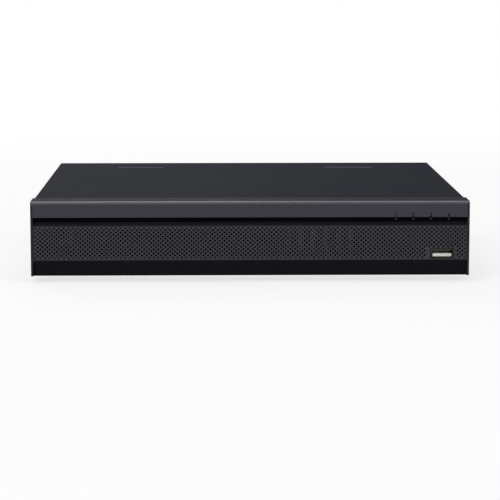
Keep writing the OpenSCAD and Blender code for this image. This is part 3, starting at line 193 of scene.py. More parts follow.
class Finish:
    # one material: a Principled shader and the nodes that feed it
    def __init__(self, name, **fixed):
        self.material = bpy.data.materials.new(name)
        self.material.use_nodes = True
        self.nodes, self.links = self.material.node_tree.nodes, self.material.node_tree.links
        self.nodes.clear()
        self.shader = self.nodes.new("ShaderNodeBsdfPrincipled")
        for socket, value in fixed.items():
            self.shader.inputs[socket.replace("_", " ")].default_value = value
        out = self.nodes.new("ShaderNodeOutputMaterial")
        self.links.new(self.shader.outputs[0], out.inputs["Surface"])
        self.place = self.node("ShaderNodeTexCoord", {}, {}, "Object")

    def feed(self, socket, value):
        # gives a socket a wire or a plain value
        if isinstance(value, Wire):
            self.links.new(value.socket, socket)
        else:
            socket.default_value = value

    def node(self, kind, settings, inputs, output=0):
        # one node with its settings and the values or links of its sockets, as the wire of one of its outputs
        made = self.nodes.new(kind)
        for name, value in settings.items():
            setattr(made, name, value)
        for name, value in inputs.items():
            self.feed(made.inputs[name], value)
        return Wire(self, made.outputs[output])

    def axes(self):
        # how far along x, y and z, in mm
        split = self.nodes.new("ShaderNodeSeparateXYZ")
        self.feed(split.inputs[0], self.place)
        return [Wire(self, out) * 1000 for out in split.outputs]

    def stretched(self, scale):
        # the place with each axis scaled, which draws a pattern out along the axes of low scale
        return self.node("ShaderNodeMapping", {}, {"Vector": self.place, "Scale": scale})

    def noise(self, size, detail, rough=0.5, place=None, warp=0.0):
        # soft noise from 0 to 1, whose blobs are about size mm across
        return self.node("ShaderNodeTexNoise", {}, {"Vector": place or self.place, "Scale": 1 / (size * mm),
                         "Detail": detail, "Roughness": rough, "Distortion": warp}, "Fac")

    def cells(self, size, output="Distance", metric="EUCLIDEAN", place=None):
        # cells about size mm across: how far from the middle of one, or a colour for each
        return self.node("ShaderNodeTexVoronoi", {"distance": metric},
                         {"Vector": place or self.place, "Scale": 1 / (size * mm)}, output)

    def channel(self, colour, name):
        # one channel of a colour
        return self.node("ShaderNodeSeparateColor", {}, {"Color": colour}, name)

    def blend(self, factor, first, second):
        # the first colour where the factor is 0, the second where it is 1
        return self.node("ShaderNodeMix", {"data_type": "RGBA"}, {0: factor, 6: first, 7: second}, 2)

    def dimmed(self, colour, tone):
        # a colour times a number
        grey = self.node("ShaderNodeCombineXYZ", {}, {0: tone, 1: tone, 2: tone})
        return self.node("ShaderNodeVectorMath", {"operation": "MULTIPLY"}, {0: colour, 1: grey})

    def level(self, low, high, factor):
        # a number that goes from low to high as the factor goes from 0 to 1
        return self.node("ShaderNodeMapRange", {"clamp": True},
                         {"Value": factor, "To Min": low, "To Max": high})

    def dent(self, height, depth, under=None):
        # bump of the given depth in mm, over another one or by itself
        inputs = {"Height": height, "Distance": depth * mm, "Strength": 1.0}
        if under is not None:
            inputs["Normal"] = under
        return self.node("ShaderNodeBump", {}, inputs, "Normal")

    def wear(self, colour=None, roughness=None, normal=None, **others):
        # joins what was worked out to the shader
        sockets = {"Base Color": colour, "Roughness": roughness, "Normal": normal}
        sockets.update({name.replace("_", " "): value for name, value in others.items()})
        for name, value in sockets.items():
            if value is not None:
                self.feed(self.shader.inputs[name], value)
        return self.material


def tint(colour, factor):
    # a colour made lighter or darker
    return (*(min(1.0, c * factor) for c in colour[:3]), 1.0)


# the one before the last three is how much lighter the painted highlight makes the recesses' rear walls; the
# last three say in mm under what height, how far back and how far out the recesses' rear walls lie
paint = dict(colour=linear(30, 32, 40), grain=0.42, depth=0.018, gloss=0.62, speckle=0.10, cloudiness=1.14,
             recessHighlight=11.0, recessUnder=47.49, recessBack=(78.8, 80.5), recessOut=(53, 88))


def texturedPaint():
    # powder coat: small round bumps that sparkle a little, and a faint cloudiness
    f = Finish("texturedPaint", Specular_IOR_Level=0.02, Metallic=0.5, Specular_Tint=(0.1, 0.1, 0.1, 1))
    bumps = f.noise(paint["grain"], 2.5, 0.55)
    orange = f.noise(3.4, 1.0)
    cloud = f.noise(38, 2.0)
    colour = f.blend(bumps.ramp(0.35, 0.7), tint(paint["colour"], 1 - paint["speckle"]),
                     tint(paint["colour"], 1 + paint["speckle"]))
    colour = f.blend(cloud.ramp(0.3, 0.75) * 0.35, colour, tint(paint["colour"], paint["cloudiness"]))
    # painted highlight: the rear wall of the two stamped recesses is painted lighter, as where it catches the
    # light, and has a glossy coat
    x, y, z = f.axes()
    sunk = 1 - z.ramp(paint["recessUnder"] - 0.02, paint["recessUnder"])
    litRecessWall = sunk * y.between(*paint["recessBack"], 0.03) * x.size().between(*paint["recessOut"])
    colour = f.dimmed(colour, f.level(1, paint["recessHighlight"], litRecessWall))
    rough = bumps * 0.10 + cloud * 0.05 + (paint["gloss"] - 0.08)
    normal = f.dent(bumps, paint["depth"])
    return f.wear(colour, rough, f.dent(orange, 0.012, normal), Coat_Weight=litRecessWall * 0.6)


# how dark each stretch of the moulding is painted, the foot, ledge, side borders and top by painted shade and
# the top front edge lighter by a painted highlight, and where in mm it lies
moulding = dict(colour=linear(67, 65, 72), grain=0.16, depth=0.007, gloss=0.5, foot=0.17, ledge=0.36,
                border=0.5, roofShade=0.46, footTop=(12.85, 13.0), ledgeSpan=(33.05, 35.62),
                ledgeEnd=(126.4, 126.6), borderIn=(126.6, 126.8), borderTop=(46.6, 46.8),
                roofFrom=(47.3, 47.46), faceBack=(-117.4, -116.8), edgeFrom=(45.4, 46.7), edgeHighlight=2.2,
                polish=0.58)


def mouldedFace():
    # spark-eroded ABS: a very fine matt grain with slightly glossier high spots
    # painted shade darkens the foot, the ledge, the side borders and the top; the top front edge has a glossy
    # coat and a painted highlight that lightens its colour
    f = Finish("mouldedFace", Specular_IOR_Level=0.02, Metallic=0.5, Specular_Tint=(0.1, 0.1, 0.1, 1),
               Coat_Roughness=0.16)
    colour = moulding["colour"]
    x, y, z = f.axes()
    onLedge = z.between(*moulding["ledgeSpan"], 0.08) * (1 - x.size().ramp(*moulding["ledgeEnd"]))
    atBorder = x.size().ramp(*moulding["borderIn"]) * (1 - z.ramp(*moulding["borderTop"]))
    # painted shade: the foot, the ledge, the side borders and the top are dimmed
    tone = f.level(1, moulding["foot"], 1 - z.ramp(*moulding["footTop"]))
    tone = f.level(tone, moulding["ledge"], onLedge)
    tone = f.level(tone, moulding["border"], atBorder)
    tone = f.level(tone, moulding["roofShade"], z.ramp(*moulding["roofFrom"]))
    grain = f.noise(moulding["grain"], 2.0, 0.6)
    flow = f.noise(55, 2.0, 0.5, f.stretched((1, 1, 3)))
    shade = f.blend(grain.ramp(0.3, 0.7), tint(colour, 0.93), tint(colour, 1.07))
    shade = f.blend(flow.ramp(0.35, 0.7) * 0.3, shade, tint(colour, 1.1))
    # painted highlight: the top front edge's colour is lightened, under a real glossy coat
    edge = (1 - y.ramp(*moulding["faceBack"])) * z.ramp(*moulding["edgeFrom"])
    shade = f.blend(edge * 0.5, f.dimmed(shade, tone), tint(colour, moulding["edgeHighlight"]))
    rough = grain * 0.14 + flow * 0.05 + (moulding["gloss"] - 0.1)
    return f.wear(shade, rough, f.dent(grain, moulding["depth"]), Coat_Weight=edge * moulding["polish"])


def glossPanel():
    # smoked gloss acrylic: almost a mirror, with the slight waves of a moulding and some dust
    f = Finish("glossPanel", Specular_IOR_Level=0.02)
    waves = f.noise(9, 1.0)
    dust = f.noise(0.35, 3.0, 0.7).ramp(0.66, 0.8)
    colour = f.blend(dust * 0.15, linear(2, 2, 3), linear(30, 30, 32))
    return f.wear(colour, dust * 0.3 + waves * 0.04 + 0.07, f.dent(waves, 0.01))


# the front flange's painted shade reaches back to the value before the last three spans, and the bottom's
# slots lie within those three, in mm; black is the painted shade's colour
zinc = dict(light=linear(212, 216, 221), dark=linear(190, 194, 200), black=linear(16, 16, 17), flake=4.2,
            grain=0.25, gloss=0.4, shadeBack=-100.5, bottom=(3.52, 4.28), slotsDeep=(-95, 95),
            slotsOut=(122, 123))


def zincSheet():
    # hot-dip zinc rolled smooth: faint crystals of differing brightness, rolling lines and fingerprint clouds
    # painted shade: the front flange's outer face is painted black, as it stands in shade behind the grille,
    # so that nothing bright shows through the grille
    f = Finish("zincSheet")
    x, y, z = f.axes()
    shadeBehindGrille = 1 - y.ramp(zinc["shadeBack"] - 0.1, zinc["shadeBack"])
    # painted shade: the punched edges of the slots in the bottom are painted black, so that they show dark
    # through the grille
    within = y.between(*zinc["slotsDeep"]) * (1 - x.size().ramp(*zinc["slotsOut"]))
    slotEdgeShade = z.between(*zinc["bottom"], 0.01) * within
    # painted shade on the flange face and the slot edges: black, rougher and not metallic
    paintedShade = shadeBehindGrille.maths("MAXIMUM", slotEdgeShade)
    flake = f.channel(f.cells(zinc["flake"], "Color", place=f.stretched((1, 1, 1.6))), "Red")
    rolling = f.noise(1.1, 3.0, 0.6, f.stretched((1, 1, 0.08)))
    cloud = f.noise(46, 3.0, 0.55, warp=0.6)
    specks = f.noise(zinc["grain"], 2.0, 0.6)
    tone = flake * 0.12 + cloud * 0.56 + rolling * 0.18 + specks * 0.14
    colour = f.blend(tone.ramp(0.22, 0.78), zinc["dark"], zinc["light"])
    colour = f.blend(paintedShade, colour, zinc["black"])
    rough = flake * 0.03 + cloud * 0.10 + specks * 0.06 + paintedShade * 0.3 + (zinc["gloss"] - 0.1)
    normal = f.dent(specks, 0.003)
    return f.wear(colour, rough, f.dent(rolling, 0.003, normal), Metallic=1 - paintedShade)


paintedShadeUpTo = (-91, -90)     # painted shade: what lies in front of this is painted dark, as it stands in the shade behind the grille


def platedMetal(name, light, dark, gloss, lines=0.5, smudge=14, metallic=1.0, paintedFrontShade=None):
    # plated or drawn metal: fine tool lines, smudges and a few dull specks; the last argument is its colour at
    # the front, a painted shade for what stands behind the grille
    f = Finish(name, Metallic=metallic)
    tool = f.noise(0.16, 2.0, 0.6)
    cloud = f.noise(smudge, 2.5, 0.6, warp=0.4)
    specks = f.noise(0.7, 3.0, 0.65).ramp(0.62, 0.75)
    colour = f.blend(cloud.ramp(0.3, 0.7), dark, light)
    colour = f.blend(specks * 0.35, colour, tint(dark, 0.7))
    rough = tool * 0.1 * lines + cloud * 0.10 + specks * 0.15 + (gloss - 0.05)
    if paintedFrontShade:
        # painted shade: what stands behind the grille turns to the shade colour and rougher
        front = 1 - f.axes()[1].ramp(*paintedShadeUpTo)
        colour, rough = f.blend(front, colour, paintedFrontShade), rough + front * 0.2
    return f.wear(colour, rough, f.dent(tool, 0.0015 * lines))


def smoothPlastic(name, colour, gloss, grain=0.3, level=0.4):
    # injection-moulded part: fine skin, flow marks and a slightly paler cloud
    f = Finish(name, Specular_IOR_Level=level)
    skin = f.noise(grain, 2.0, 0.6)
    flow = f.noise(6, 2.0, 0.5, warp=0.8)
    shade = f.blend(flow.ramp(0.3, 0.75), tint(colour, 0.9), tint(colour, 1.08))
    shade = f.blend(skin.ramp(0.45, 0.75) * 0.25, shade, tint(colour, 0.8))
    return f.wear(shade, skin * 0.12 + flow * 0.1 + (gloss - 0.1), f.dent(skin, 0.004))


laminate = dict(mask=linear(10, 62, 40), copper=linear(22, 98, 58), tin=linear(190, 188, 176),
                black=linear(14, 14, 15), pour=14, area=9, via=4.6, traces=420.0, weave=0.5)


def circuitLaminate():
    # green solder mask over copper: right-angled traces, wider pours and tinned vias
    f = Finish("circuitLaminate", Specular_IOR_Level=0.5)
    pour, area = (f.channel(f.cells(laminate[name], "Color", "CHEBYCHEV"), channel)
                  for name, channel in (("pour", "Red"), ("area", "Green")))
    drawn = {"Vector": f.place, "Scale": laminate["traces"], "Distortion": 0.0}
    lines = [f.node("ShaderNodeTexWave", {"wave_type": "BANDS", "bands_direction": direction}, drawn, "Fac")
             .ramp(0.62, 0.7) for direction in "XY"]
    traces = lines[0] * (area > 0.62) + lines[1] * (area < 0.3)
    copper = ((pour > 0.5) * 0.6).maths("MAXIMUM", traces)
    via = 1 - f.cells(laminate["via"]).ramp(0.055, 0.075)
    weave = f.noise(laminate["weave"], 1.0)
    colour = f.blend(copper, laminate["mask"], laminate["copper"])
    colour = f.blend(via, colour, laminate["tin"])
    # painted shade: the front board stands behind the grille and is painted black and rougher, so that it
    # shows as shade through it
    front = 1 - f.axes()[1].ramp(*paintedShadeUpTo)
    colour = f.blend(front, colour, laminate["black"])
    rough = weave * 0.08 + front * 0.2 + 0.26
    raised = f.dent(copper + via, 0.03, f.dent(weave, 0.004))
    return f.wear(colour, rough, raised, Metallic=via * (1 - front) * 0.9)


def canSleeve():
    # an aluminium can in a printed sleeve: the colour is the sleeve's below, bare metal on the top face
    f = Finish("canSleeve", Specular_IOR_Level=0.5)
    facing = f.node("ShaderNodeNewGeometry", {}, {}, "Normal")
    top = f.node("ShaderNodeSeparateXYZ", {}, {"Vector": facing}, "Z").ramp(0.6, 0.9)
    cloud = f.noise(2.0, 2.0)
    sleeve = f.blend(cloud.ramp(0.3, 0.7), linear(26, 28, 40), linear(34, 36, 50))
    metal = f.blend(cloud.ramp(0.3, 0.7), linear(180, 181, 183), linear(214, 214, 214))
    return f.wear(f.blend(top, sleeve, metal), cloud * 0.1 + 0.28, None, Metallic=top)


def makeFinishes():
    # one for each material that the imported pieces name; a metal's two colours are its light and its dark one
    nickel = linear(204, 196, 178), linear(168, 160, 142)
    steel = linear(214, 208, 196), linear(182, 176, 164)
    aluminium = linear(190, 191, 194), linear(158, 160, 164)
    anodised = linear(44, 44, 47), linear(30, 30, 33)
    lid = linear(168, 170, 173), linear(158, 160, 164)
    mirror = linear(226, 226, 230), linear(214, 214, 220)
    gold = linear(232, 190, 112), linear(196, 152, 80)
    black, soft = linear(20, 20, 22), linear(26, 26, 28)
    return {
        "galvanised_steel": zincSheet(),
        "cover_paint": texturedPaint(),
        "bezel_plastic": mouldedFace(),
        "gloss_strip": glossPanel(),
        "clear_plastic": smoothPlastic("lightPipe", linear(66, 67, 70), 0.4, 0.6, 0.2),
        "foot_rubber": smoothPlastic("footRubber", linear(30, 30, 31), 0.8, 0.5, 0.2),
        "nickel_screw": platedMetal("nickelScrew", *nickel, 0.24),
        "nickel_plate": platedMetal("nickelPlate", *nickel, 0.2, 0.8, 9),
        "ivory_plastic": smoothPlastic("ivoryInsulator", linear(232, 226, 204), 0.4),
        "gold_contact": platedMetal("goldContact", *gold, 0.22),
        "black_plastic": smoothPlastic("socketPlastic", black, 0.42),
        "red_plastic": smoothPlastic("redPlastic", linear(196, 20, 34), 0.32),
        "green_plastic": smoothPlastic("greenPlastic", linear(70, 158, 62), 0.42),
        "blue_plastic": smoothPlastic("bluePlastic", linear(28, 84, 196), 0.4),
        "white_plastic": smoothPlastic("whitePlastic", linear(226, 226, 220), 0.36),
        "yellow_lamp": smoothPlastic("yellowLens", linear(222, 214, 40), 0.16),
        "green_lamp": smoothPlastic("greenLens", linear(92, 176, 96), 0.16),
        # the tinned steel's last colour is its painted shade where it stands behind the grille
        "tinned_steel": platedMetal("tinnedSteel", *steel, 0.3, 1.0, 7, 1.0, linear(84, 80, 72)),
        "circuit_board": circuitLaminate(),
        "chip_black": smoothPlastic("chipEpoxy", soft, 0.55, 0.12),
        "black_anodised": platedMetal("blackAnodised", *anodised, 0.42, 1.0, 20, 0.6),
        "capacitor_can": canSleeve(),
        "drive_casting": platedMetal("driveCasting", *aluminium, 0.46, 2.0, 25),
        "drive_lid": platedMetal("driveLid", *lid, 0.42, 1.2, 30),
        "platter_mirror": platedMetal("platterMirror", *mirror, 0.07, 0.0, 60),
        "red_cable": smoothPlastic("redSheath", linear(160, 26, 30), 0.45),
        "black_cable": smoothPlastic("blackSheath", linear(28, 28, 30), 0.5),
    }


finishes = makeFinishes()
print("finishes: %d" % len(finishes))


seam = 0.0004     # corners closer than this many mm are the same corner of two shapes
# edges are sharp past an angle; corners within merge mm are one; faces within flat degrees are joined
shell = dict(sharp=32, steps=2, merge=0.014, sliver=0.001, flat=0.5)
cutUp = ("lan_insert", "terminal_body", "top_cover")    # their faces are too cut up to be joined
slotNames = {node: piece.data.materials[0].name for node, piece in frame["nodes"].items()}
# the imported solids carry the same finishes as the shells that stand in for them
for node, piece in frame["nodes"].items():
    piece.data.materials[0] = finishes[slotNames[node]]


def band(rings):
    # quads between rings of points, rings by points by 3, closed round each ring
    rows, columns = rings.shape[:2]
    row, column = np.meshgrid(np.arange(rows - 1), np.arange(columns), indexing="ij")
    here, there = row * columns + column, row * columns + (column + 1) % columns
    faces = np.stack([here, there, there + columns, here + columns], -1).reshape(-1, 4)
    return rings.reshape(-1, 3), faces.tolist()


def prism(outline, low, high):
    # an outline in x and y carried straight up, with both ends closed
    count = len(outline)
    rings = [np.column_stack([outline, np.full(count, level)]) for level in (low, high)]
    points, faces = band(np.stack(rings))
    return points, faces + [list(range(count)), list(range(count, 2 * count))]


def outwards(shape):
    # turns a closed shape's faces round where its volume comes out negative
    points, faces = shape
    volume = 0.0
    for size in {len(f) for f in faces}:
        loops = points[np.array([f for f in faces if len(f) == size])]
        for k in range(1, size - 1):
            volume += np.einsum("ij,ij->", loops[:, 0], np.cross(loops[:, k], loops[:, k + 1]))
    return points, faces if volume > 0 else [f[::-1] for f in faces]


def finishPiece(name, mesh, body, slot, replaced, soften=0.0, finish=None):
    # smooth shading up to the sharp edges, which get a small round, and its place on a body
    mesh.materials.clear()
    mesh.materials.append(finish or finishes[slot])
    if "custom_normal" in mesh.attributes:
        mesh.attributes.remove(mesh.attributes["custom_normal"])
    mesh.polygons.foreach_set("use_smooth", np.ones(len(mesh.polygons), bool))
    mesh.set_sharp_from_angle(angle=math.radians(shell["sharp"]))
    piece = bpy.data.objects.new(name, mesh)
    bpy.context.scene.collection.objects.link(piece)
    if soften:
        edges = piece.modifiers.new("softEdges", "BEVEL")
        edges.width, edges.segments, edges.limit_method = soften * mm, shell["steps"], "ANGLE"
        edges.angle_limit, edges.harden_normals = math.radians(shell["sharp"]), True
        edges.use_clamp_overlap, edges.miter_outer = False, "MITER_ARC"
    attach(piece, body)
    if replaced:
        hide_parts(*replaced)
    return piece


def makePiece(name, shapes, body, slot, replaced=(), loose=False, finish=None):
    # one piece from shapes in mm: each closed by itself, or loose ones that close together
    points, faces, start = [], [], 0
    for shape in shapes:
        p, f = shape if loose else outwards(shape)
        points.append(p)
        faces += [[i + start for i in face] for face in f]
        start += len(p)
    mesh = bpy.data.meshes.new(name)
    mesh.from_pydata((np.vstack(points) * mm).tolist(), [], faces)
    tidy = bmesh.new()
    tidy.from_mesh(mesh)
    bmesh.ops.remove_doubles(tidy, verts=tidy.verts, dist=seam * mm)
    if loose:
        bmesh.ops.recalc_face_normals(tidy, faces=tidy.faces)
    tidy.to_mesh(mesh)
    tidy.free()
    return finishPiece(name, mesh, body, slot, replaced, finish=finish)


def bodyOf(node):
    return frame["nodes"][node]["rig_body"]


def dress(node, soften):
    # a solid's own shape as clean faces, so that its edges can be rounded and its curves shade smoothly
    mesh = bpy.data.meshes.new(node + "_shell")
    tidy = bmesh.new()
    tidy.from_mesh(frame["nodes"][node].data)
    # corners closer than about a hundredth of a millimetre are one, or the rounding would fold over on them
    bmesh.ops.remove_doubles(tidy, verts=tidy.verts, dist=shell["merge"] * mm)
    bmesh.ops.dissolve_degenerate(tidy, edges=tidy.edges, dist=shell["sliver"] * mm)
    if node not in cutUp:
        bmesh.ops.dissolve_limit(tidy, angle_limit=math.radians(shell["flat"]), verts=tidy.verts,
                                 edges=tidy.edges, use_dissolve_boundaries=False)
    tidy.to_mesh(mesh)
    tidy.free()
    return finishPiece(node + "_shell", mesh, bodyOf(node), slotNames[node], [node], soften)


def corners(mesh):
    # a mesh's vertices, in its own units
    places = np.empty(len(mesh.vertices) * 3)
    mesh.vertices.foreach_get("co", places)
    return places.reshape(-1, 3)


def islands(node):
    # the box of each separate solid in a node, in mm, left to right
    tidy = bmesh.new()
    tidy.from_mesh(frame["nodes"][node].data)
    bmesh.ops.remove_doubles(tidy, verts=tidy.verts, dist=0.002 * mm)
    joined = bpy.data.meshes.new("joined")
    tidy.to_mesh(joined)
    tidy.free()
    ends = np.empty(len(joined.edges) * 2, int)
    joined.edges.foreach_get("vertices", ends)
    ends, where = ends.reshape(-1, 2), corners(joined) / mm
    label = np.arange(len(where))
    bpy.data.meshes.remove(joined)
    # each corner takes the lowest number among those it is joined to, until nothing changes
    while True:
        low = np.minimum(label[ends[:, 0]], label[ends[:, 1]])
        fresh = label.copy()
        np.minimum.at(fresh, ends[:, 0], low)
        np.minimum.at(fresh, ends[:, 1], low)
        fresh = fresh[fresh]
        if (fresh == label).all():
            break
        label = fresh
    boxes = [(where[label == k].min(0), where[label == k].max(0)) for k in np.unique(label)]
    return sorted(boxes, key=lambda box: (round(box[0][0]), round(box[0][2])))


def boxOf(node):
    low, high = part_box(node)
    return np.array(low) / mm, np.array(high) / mm


def treeOf(piece):
    # a piece's surface, for rays to meet
    return BVHTree.FromObject(piece, bpy.context.evaluated_depsgraph_get())


def punched(outer, holes, near, far, lead):
    # a plate with holes, flat in x and z, from near to far along y; lead is the holes' outlines at far
    shapes = []
    for y, loops, flip in ((near, holes, False), (far, lead, True)):
        every = [outer, *loops]
        starts = np.cumsum([0] + [len(loop) for loop in every])
        rings = [list(range(a, b)) for a, b in zip(starts[:-1], starts[1:])]
        flat, _, faces = delaunay_2d_cdt(np.vstack(every).tolist(), [], rings, 2, 1e-5)[:3]
        flat = np.array(flat)
        points = np.stack([flat[:, 0], np.full(len(flat), y), flat[:, 1]], -1)
        shapes.append((points, [f[::-1] if flip else f for f in faces]))
    for loop, back in zip([outer, *holes], [outer, *lead]):
        rims = np.stack([np.array(loop, float), np.array(back, float)])
        depth = np.broadcast_to(np.array([near, far])[:, None], rims.shape[:2])
        shapes.append(band(np.stack([rims[..., 0], depth, rims[..., 1]], -1)))
    return shapes


# half and throat are a hole's half width in mm at the face and at the back; the blank has no holes
grille = dict(columns=92, rows=15, half=0.8, throat=0.72, rim=0.25, sideRim=0.15, blankLeft=10.2,
              blankRight=8.2, blankUp=4.2, shell=0.6, gap=0.25)


def makeGrille():
    # staggered rows of diamond holes, from the foot up to the first hole; odd rows stand half a pitch over
    low, high = boxOf("grille_panel")
    first, last = (onPlane(imagePoints[name], 1, low[1]) for name in ("firstHole", "lastHole"))
    foot = max(last.z, low[2] + grille["half"] + grille["rim"])
    reach = min(last.x, -first.x, high[0] - grille["half"] - grille["sideRim"])
    pitch, height = 2 * reach / (grille["columns"] - 1), (first.z - foot) / (grille["rows"] - 1)
    print("grille: holes %.3f mm apart, rows %.3f mm apart, out to %.2f" % (pitch, height, reach))
    usbLow, usbHigh = boxOf("usb_tongue_front")
    usb = (usbLow + usbHigh) / 2
    row, column = np.meshgrid(np.arange(grille["rows"]), np.arange(grille["columns"]), indexing="ij")
    across = (column - (grille["columns"] - 1) / 2 + (row % 2) / 2) * pitch
    up = foot + row * height
    kept = across < reach + 0.01
    blank = (across > usb[0] - grille["blankLeft"]) & (across < usb[0] + grille["blankRight"])
    kept &= ~(blank & (up < usb[2] + grille["blankUp"]))
    centres = np.stack([across[kept], up[kept]], -1)[:, None]
    diamond = np.array([[1, 0], [0, 1], [-1, 0], [0, -1]])
    holes, throats = centres + diamond * grille["half"], centres + diamond * grille["throat"]
    # the USB socket's window is open downwards, and as wide as the tongue, its shell and a gap
    half = (usbHigh[0] - usbLow[0]) / 2 + grille["shell"] + grille["gap"]
    left, right, top = usb[0] - half, usb[0] + half, usbHigh[2] + grille["shell"] + grille["gap"]
    outer = [(low[0], low[2]), (left, low[2]), (left, top), (right, top),
             (right, low[2]), (high[0], low[2]), (high[0], high[2]), (low[0], high[2])]
    plate = punched(outer, list(holes), low[1], high[1], list(throats))
    face = makePiece("grille_face", plate, bodyOf("grille_panel"), "bezel_plastic", ["grille_panel"],
                     loose=True)
    return face, np.stack([centres[:, 0, 0], np.full(len(centres), low[1]), centres[:, 0, 1]], -1)


grilleFace, grilleHoles = makeGrille()
print("grille: %d faces" % len(grilleFace.data.polygons))

# how far the edges of each piece of the housing are rounded, in mm
softEdges = {"top_cover": 0.10, "front_bezel": 0.16, "chassis": 0.05, "rear_panel": 0.05,
             "indicator_strip": 0.05, "feet": 0.2, "light_pipes": 0.06}
housing = {node: dress(node, size) for node, size in softEdges.items()}
print("housing")

# the same for the sockets and the screws
socketEdges = {"bnc_shell_%d" % k: 0.07 for k in range(1, 9)}
socketEdges.update({
    "rca_shells": 0.06, "rca_block": 0.12, "rca_inserts": 0.08, "bnc_insulators": 0.08, "bnc_contacts": 0.04,
    "bnc_blocks": 0.15, "hdmi_shell": 0.08, "hdmi_tongue": 0.08, "lan_shield": 0.08, "lan_insert": 0.08,
    "lan_led_yellow": 0.12, "lan_led_green": 0.12, "terminal_body": 0.0, "terminal_lever_1": 0.1,
    "terminal_lever_2": 0.1, "usb_shells": 0.08, "usb_tongue_rear": 0.1, "usb_tongue_front": 0.1,
    "dc_jack_body": 0.15, "dc_jack_pin": 0.05, "vga_shell": 0.08, "vga_insert": 0.06, "vga_posts": 0.06,
    "cover_screws": 0.05, "ground_screw": 0.05, "board_screws": 0.05,
})
sockets = {node: dress(node, size) for node, size in socketEdges.items()}
print("sockets")

# and for what is inside
innerEdges = {
    "main_board": 0.05, "board_chips": 0.12, "heat_sink": 0.12, "board_capacitors": 0.1, "board_sockets": 0.1,
    "coin_cell": 0.1, "front_board": 0.05, "hdd_base": 0.3, "hdd_lid": 0.12, "hdd_hub": 0.1,
    "hdd_platters": 0.05, "hdd_arm": 0.12, "hdd_board": 0.05, "hdd_screws": 0.05, "sata_cable": 0.15,
    "front_cable": 0.1, "lan_contacts": 0.02, "terminal_clamps": 0.03,
}
inside = {node: dress(node, size) for node, size in innerEdges.items()}
print("inside")


# ink is how thick the print is, and letterSize a font's size over the height of its numerals
figures = dict(height=2.2, bold=0.11, ink=0.01, roundness=4, letterSize=1.4, portHeight=2.0, portBold=0.03,
               portAside=6.4, portAbove=5.2, colour=linear(14, 14, 15))


def figure(text, at, height, bold, facing):
    # a printed numeral, a hair thick, on a face that looks to the front (-1) or to the back (1)
    curve = bpy.data.curves.new("figure", "FONT")
    curve.body, curve.size, curve.offset = text, height * figures["letterSize"], bold
    curve.extrude, curve.resolution_u = figures["ink"], figures["roundness"]
    curve.align_x, curve.align_y = "CENTER", "CENTER"
    holder = bpy.data.objects.new("figure", curve)
    bpy.context.scene.collection.objects.link(holder)
    mesh = bpy.data.meshes.new_from_object(holder.evaluated_get(bpy.context.evaluated_depsgraph_get()))
    bpy.data.objects.remove(holder)
    flat = corners(mesh)
    faces = [list(polygon.vertices) for polygon in mesh.polygons]
    bpy.data.meshes.remove(mesh)
    return np.stack([-facing * flat[:, 0], facing * flat[:, 2], flat[:, 1]], -1) + np.array(at), faces


def printFigures():
    # 1 to 4 over the lamps, evenly between their image points, and 1 to 8 beside the video jacks
    tree = treeOf(housing["front_bezel"])
    first, last = (onSurface(imagePoints[name], tree) for name in ("numeralOne", "numeralFour"))
    front = [figure(str(k + 1), first + (last - first) * k / 3, figures["height"], figures["bold"], -1)
             for k in range(4)]
    ink = smoothPlastic("blackInk", figures["colour"], 0.7, 0.15, 0.05)
    lamps = makePiece("lamp_figures", front, bodyOf("front_bezel"), "black_plastic", finish=ink)
    back, face = [], panelFace()
    for k in range(1, 9):
        low, high = boxOf("bnc_shell_%d" % k)
        middle = (low + high) / 2
        at = (middle[0] + figures["portAside"], face, middle[2] + figures["portAbove"])
        back.append(figure(str(k), at, figures["portHeight"], figures["portBold"], 1))
    makePiece("port_figures", back, bodyOf("rear_panel"), "black_plastic", finish=ink)
    return lamps


def panelFace():
    # how far back the rear panel's outer face lies: where a ray from behind meets it between the sockets
    low, high = boxOf("bnc_shell_1")
    aside, behind = 20, 400
    start = Vector((high[0] + aside, behind, (low[2] + high[2]) / 2)) * mm
    return treeOf(housing["rear_panel"]).ray_cast(start, Vector((0, -1, 0)))[0].y / mm


lampFigures = printFigures()
print("figures")


# small parts stand on a shaken grid, edge mm in from the board's sides, in patches, and turned in others
# the board has to be whole solid mm round each; what is over largest mm long doesn't stand on the board
# chip is a part's length, width and height; legs gives each step of a leg, from and to outwards, then upwards
board = dict(seed=5, pitch=2.5, clear=1.4, shake=0.25, patches=(6.1, 7.3), fullest=0.35, turns=(11, 9),
             chip=(1.6, 0.8, 0.5), end=0.32, waist=0.94, low=0.86, lowEnd=0.9, tall=1.16, tallEnd=1.2,
             tan=linear(172, 146, 108), edge=(3, 2), solid=1.2, depth=0.5, largest=120,
             legs=((0.25, 0.95, 0, 0.14), (0.15, 0.32, 0.02, 0.6), (-0.1, 0.3, 0.54, 0.66)),
             legPitch=0.8, legWidth=0.3, legMargin=0.5, silk=0.16, silkGap=1.5, dotIn=0.9, dot=0.3,
             largestLegged=20)


def boxes(low, high):
    # plain boxes, from arrays of their low and high corners
    low, high = np.array(low, float).reshape(-1, 3), np.array(high, float).reshape(-1, 3)
    low, high = np.minimum(low, high), np.maximum(low, high)
    pick = np.array([(i, j, k) for k in (0, 1) for i, j in ((0, 0), (1, 0), (1, 1), (0, 1))], bool)
    points = np.where(pick, high[:, None], low[:, None])
    sides = np.array([(3, 2, 1, 0), (4, 5, 6, 7), (0, 1, 5, 4), (1, 2, 6, 5), (2, 3, 7, 6), (3, 0, 4, 7)])
    return points.reshape(-1, 3), (sides + 8 * np.arange(len(low))[:, None, None]).reshape(-1, 4).tolist()


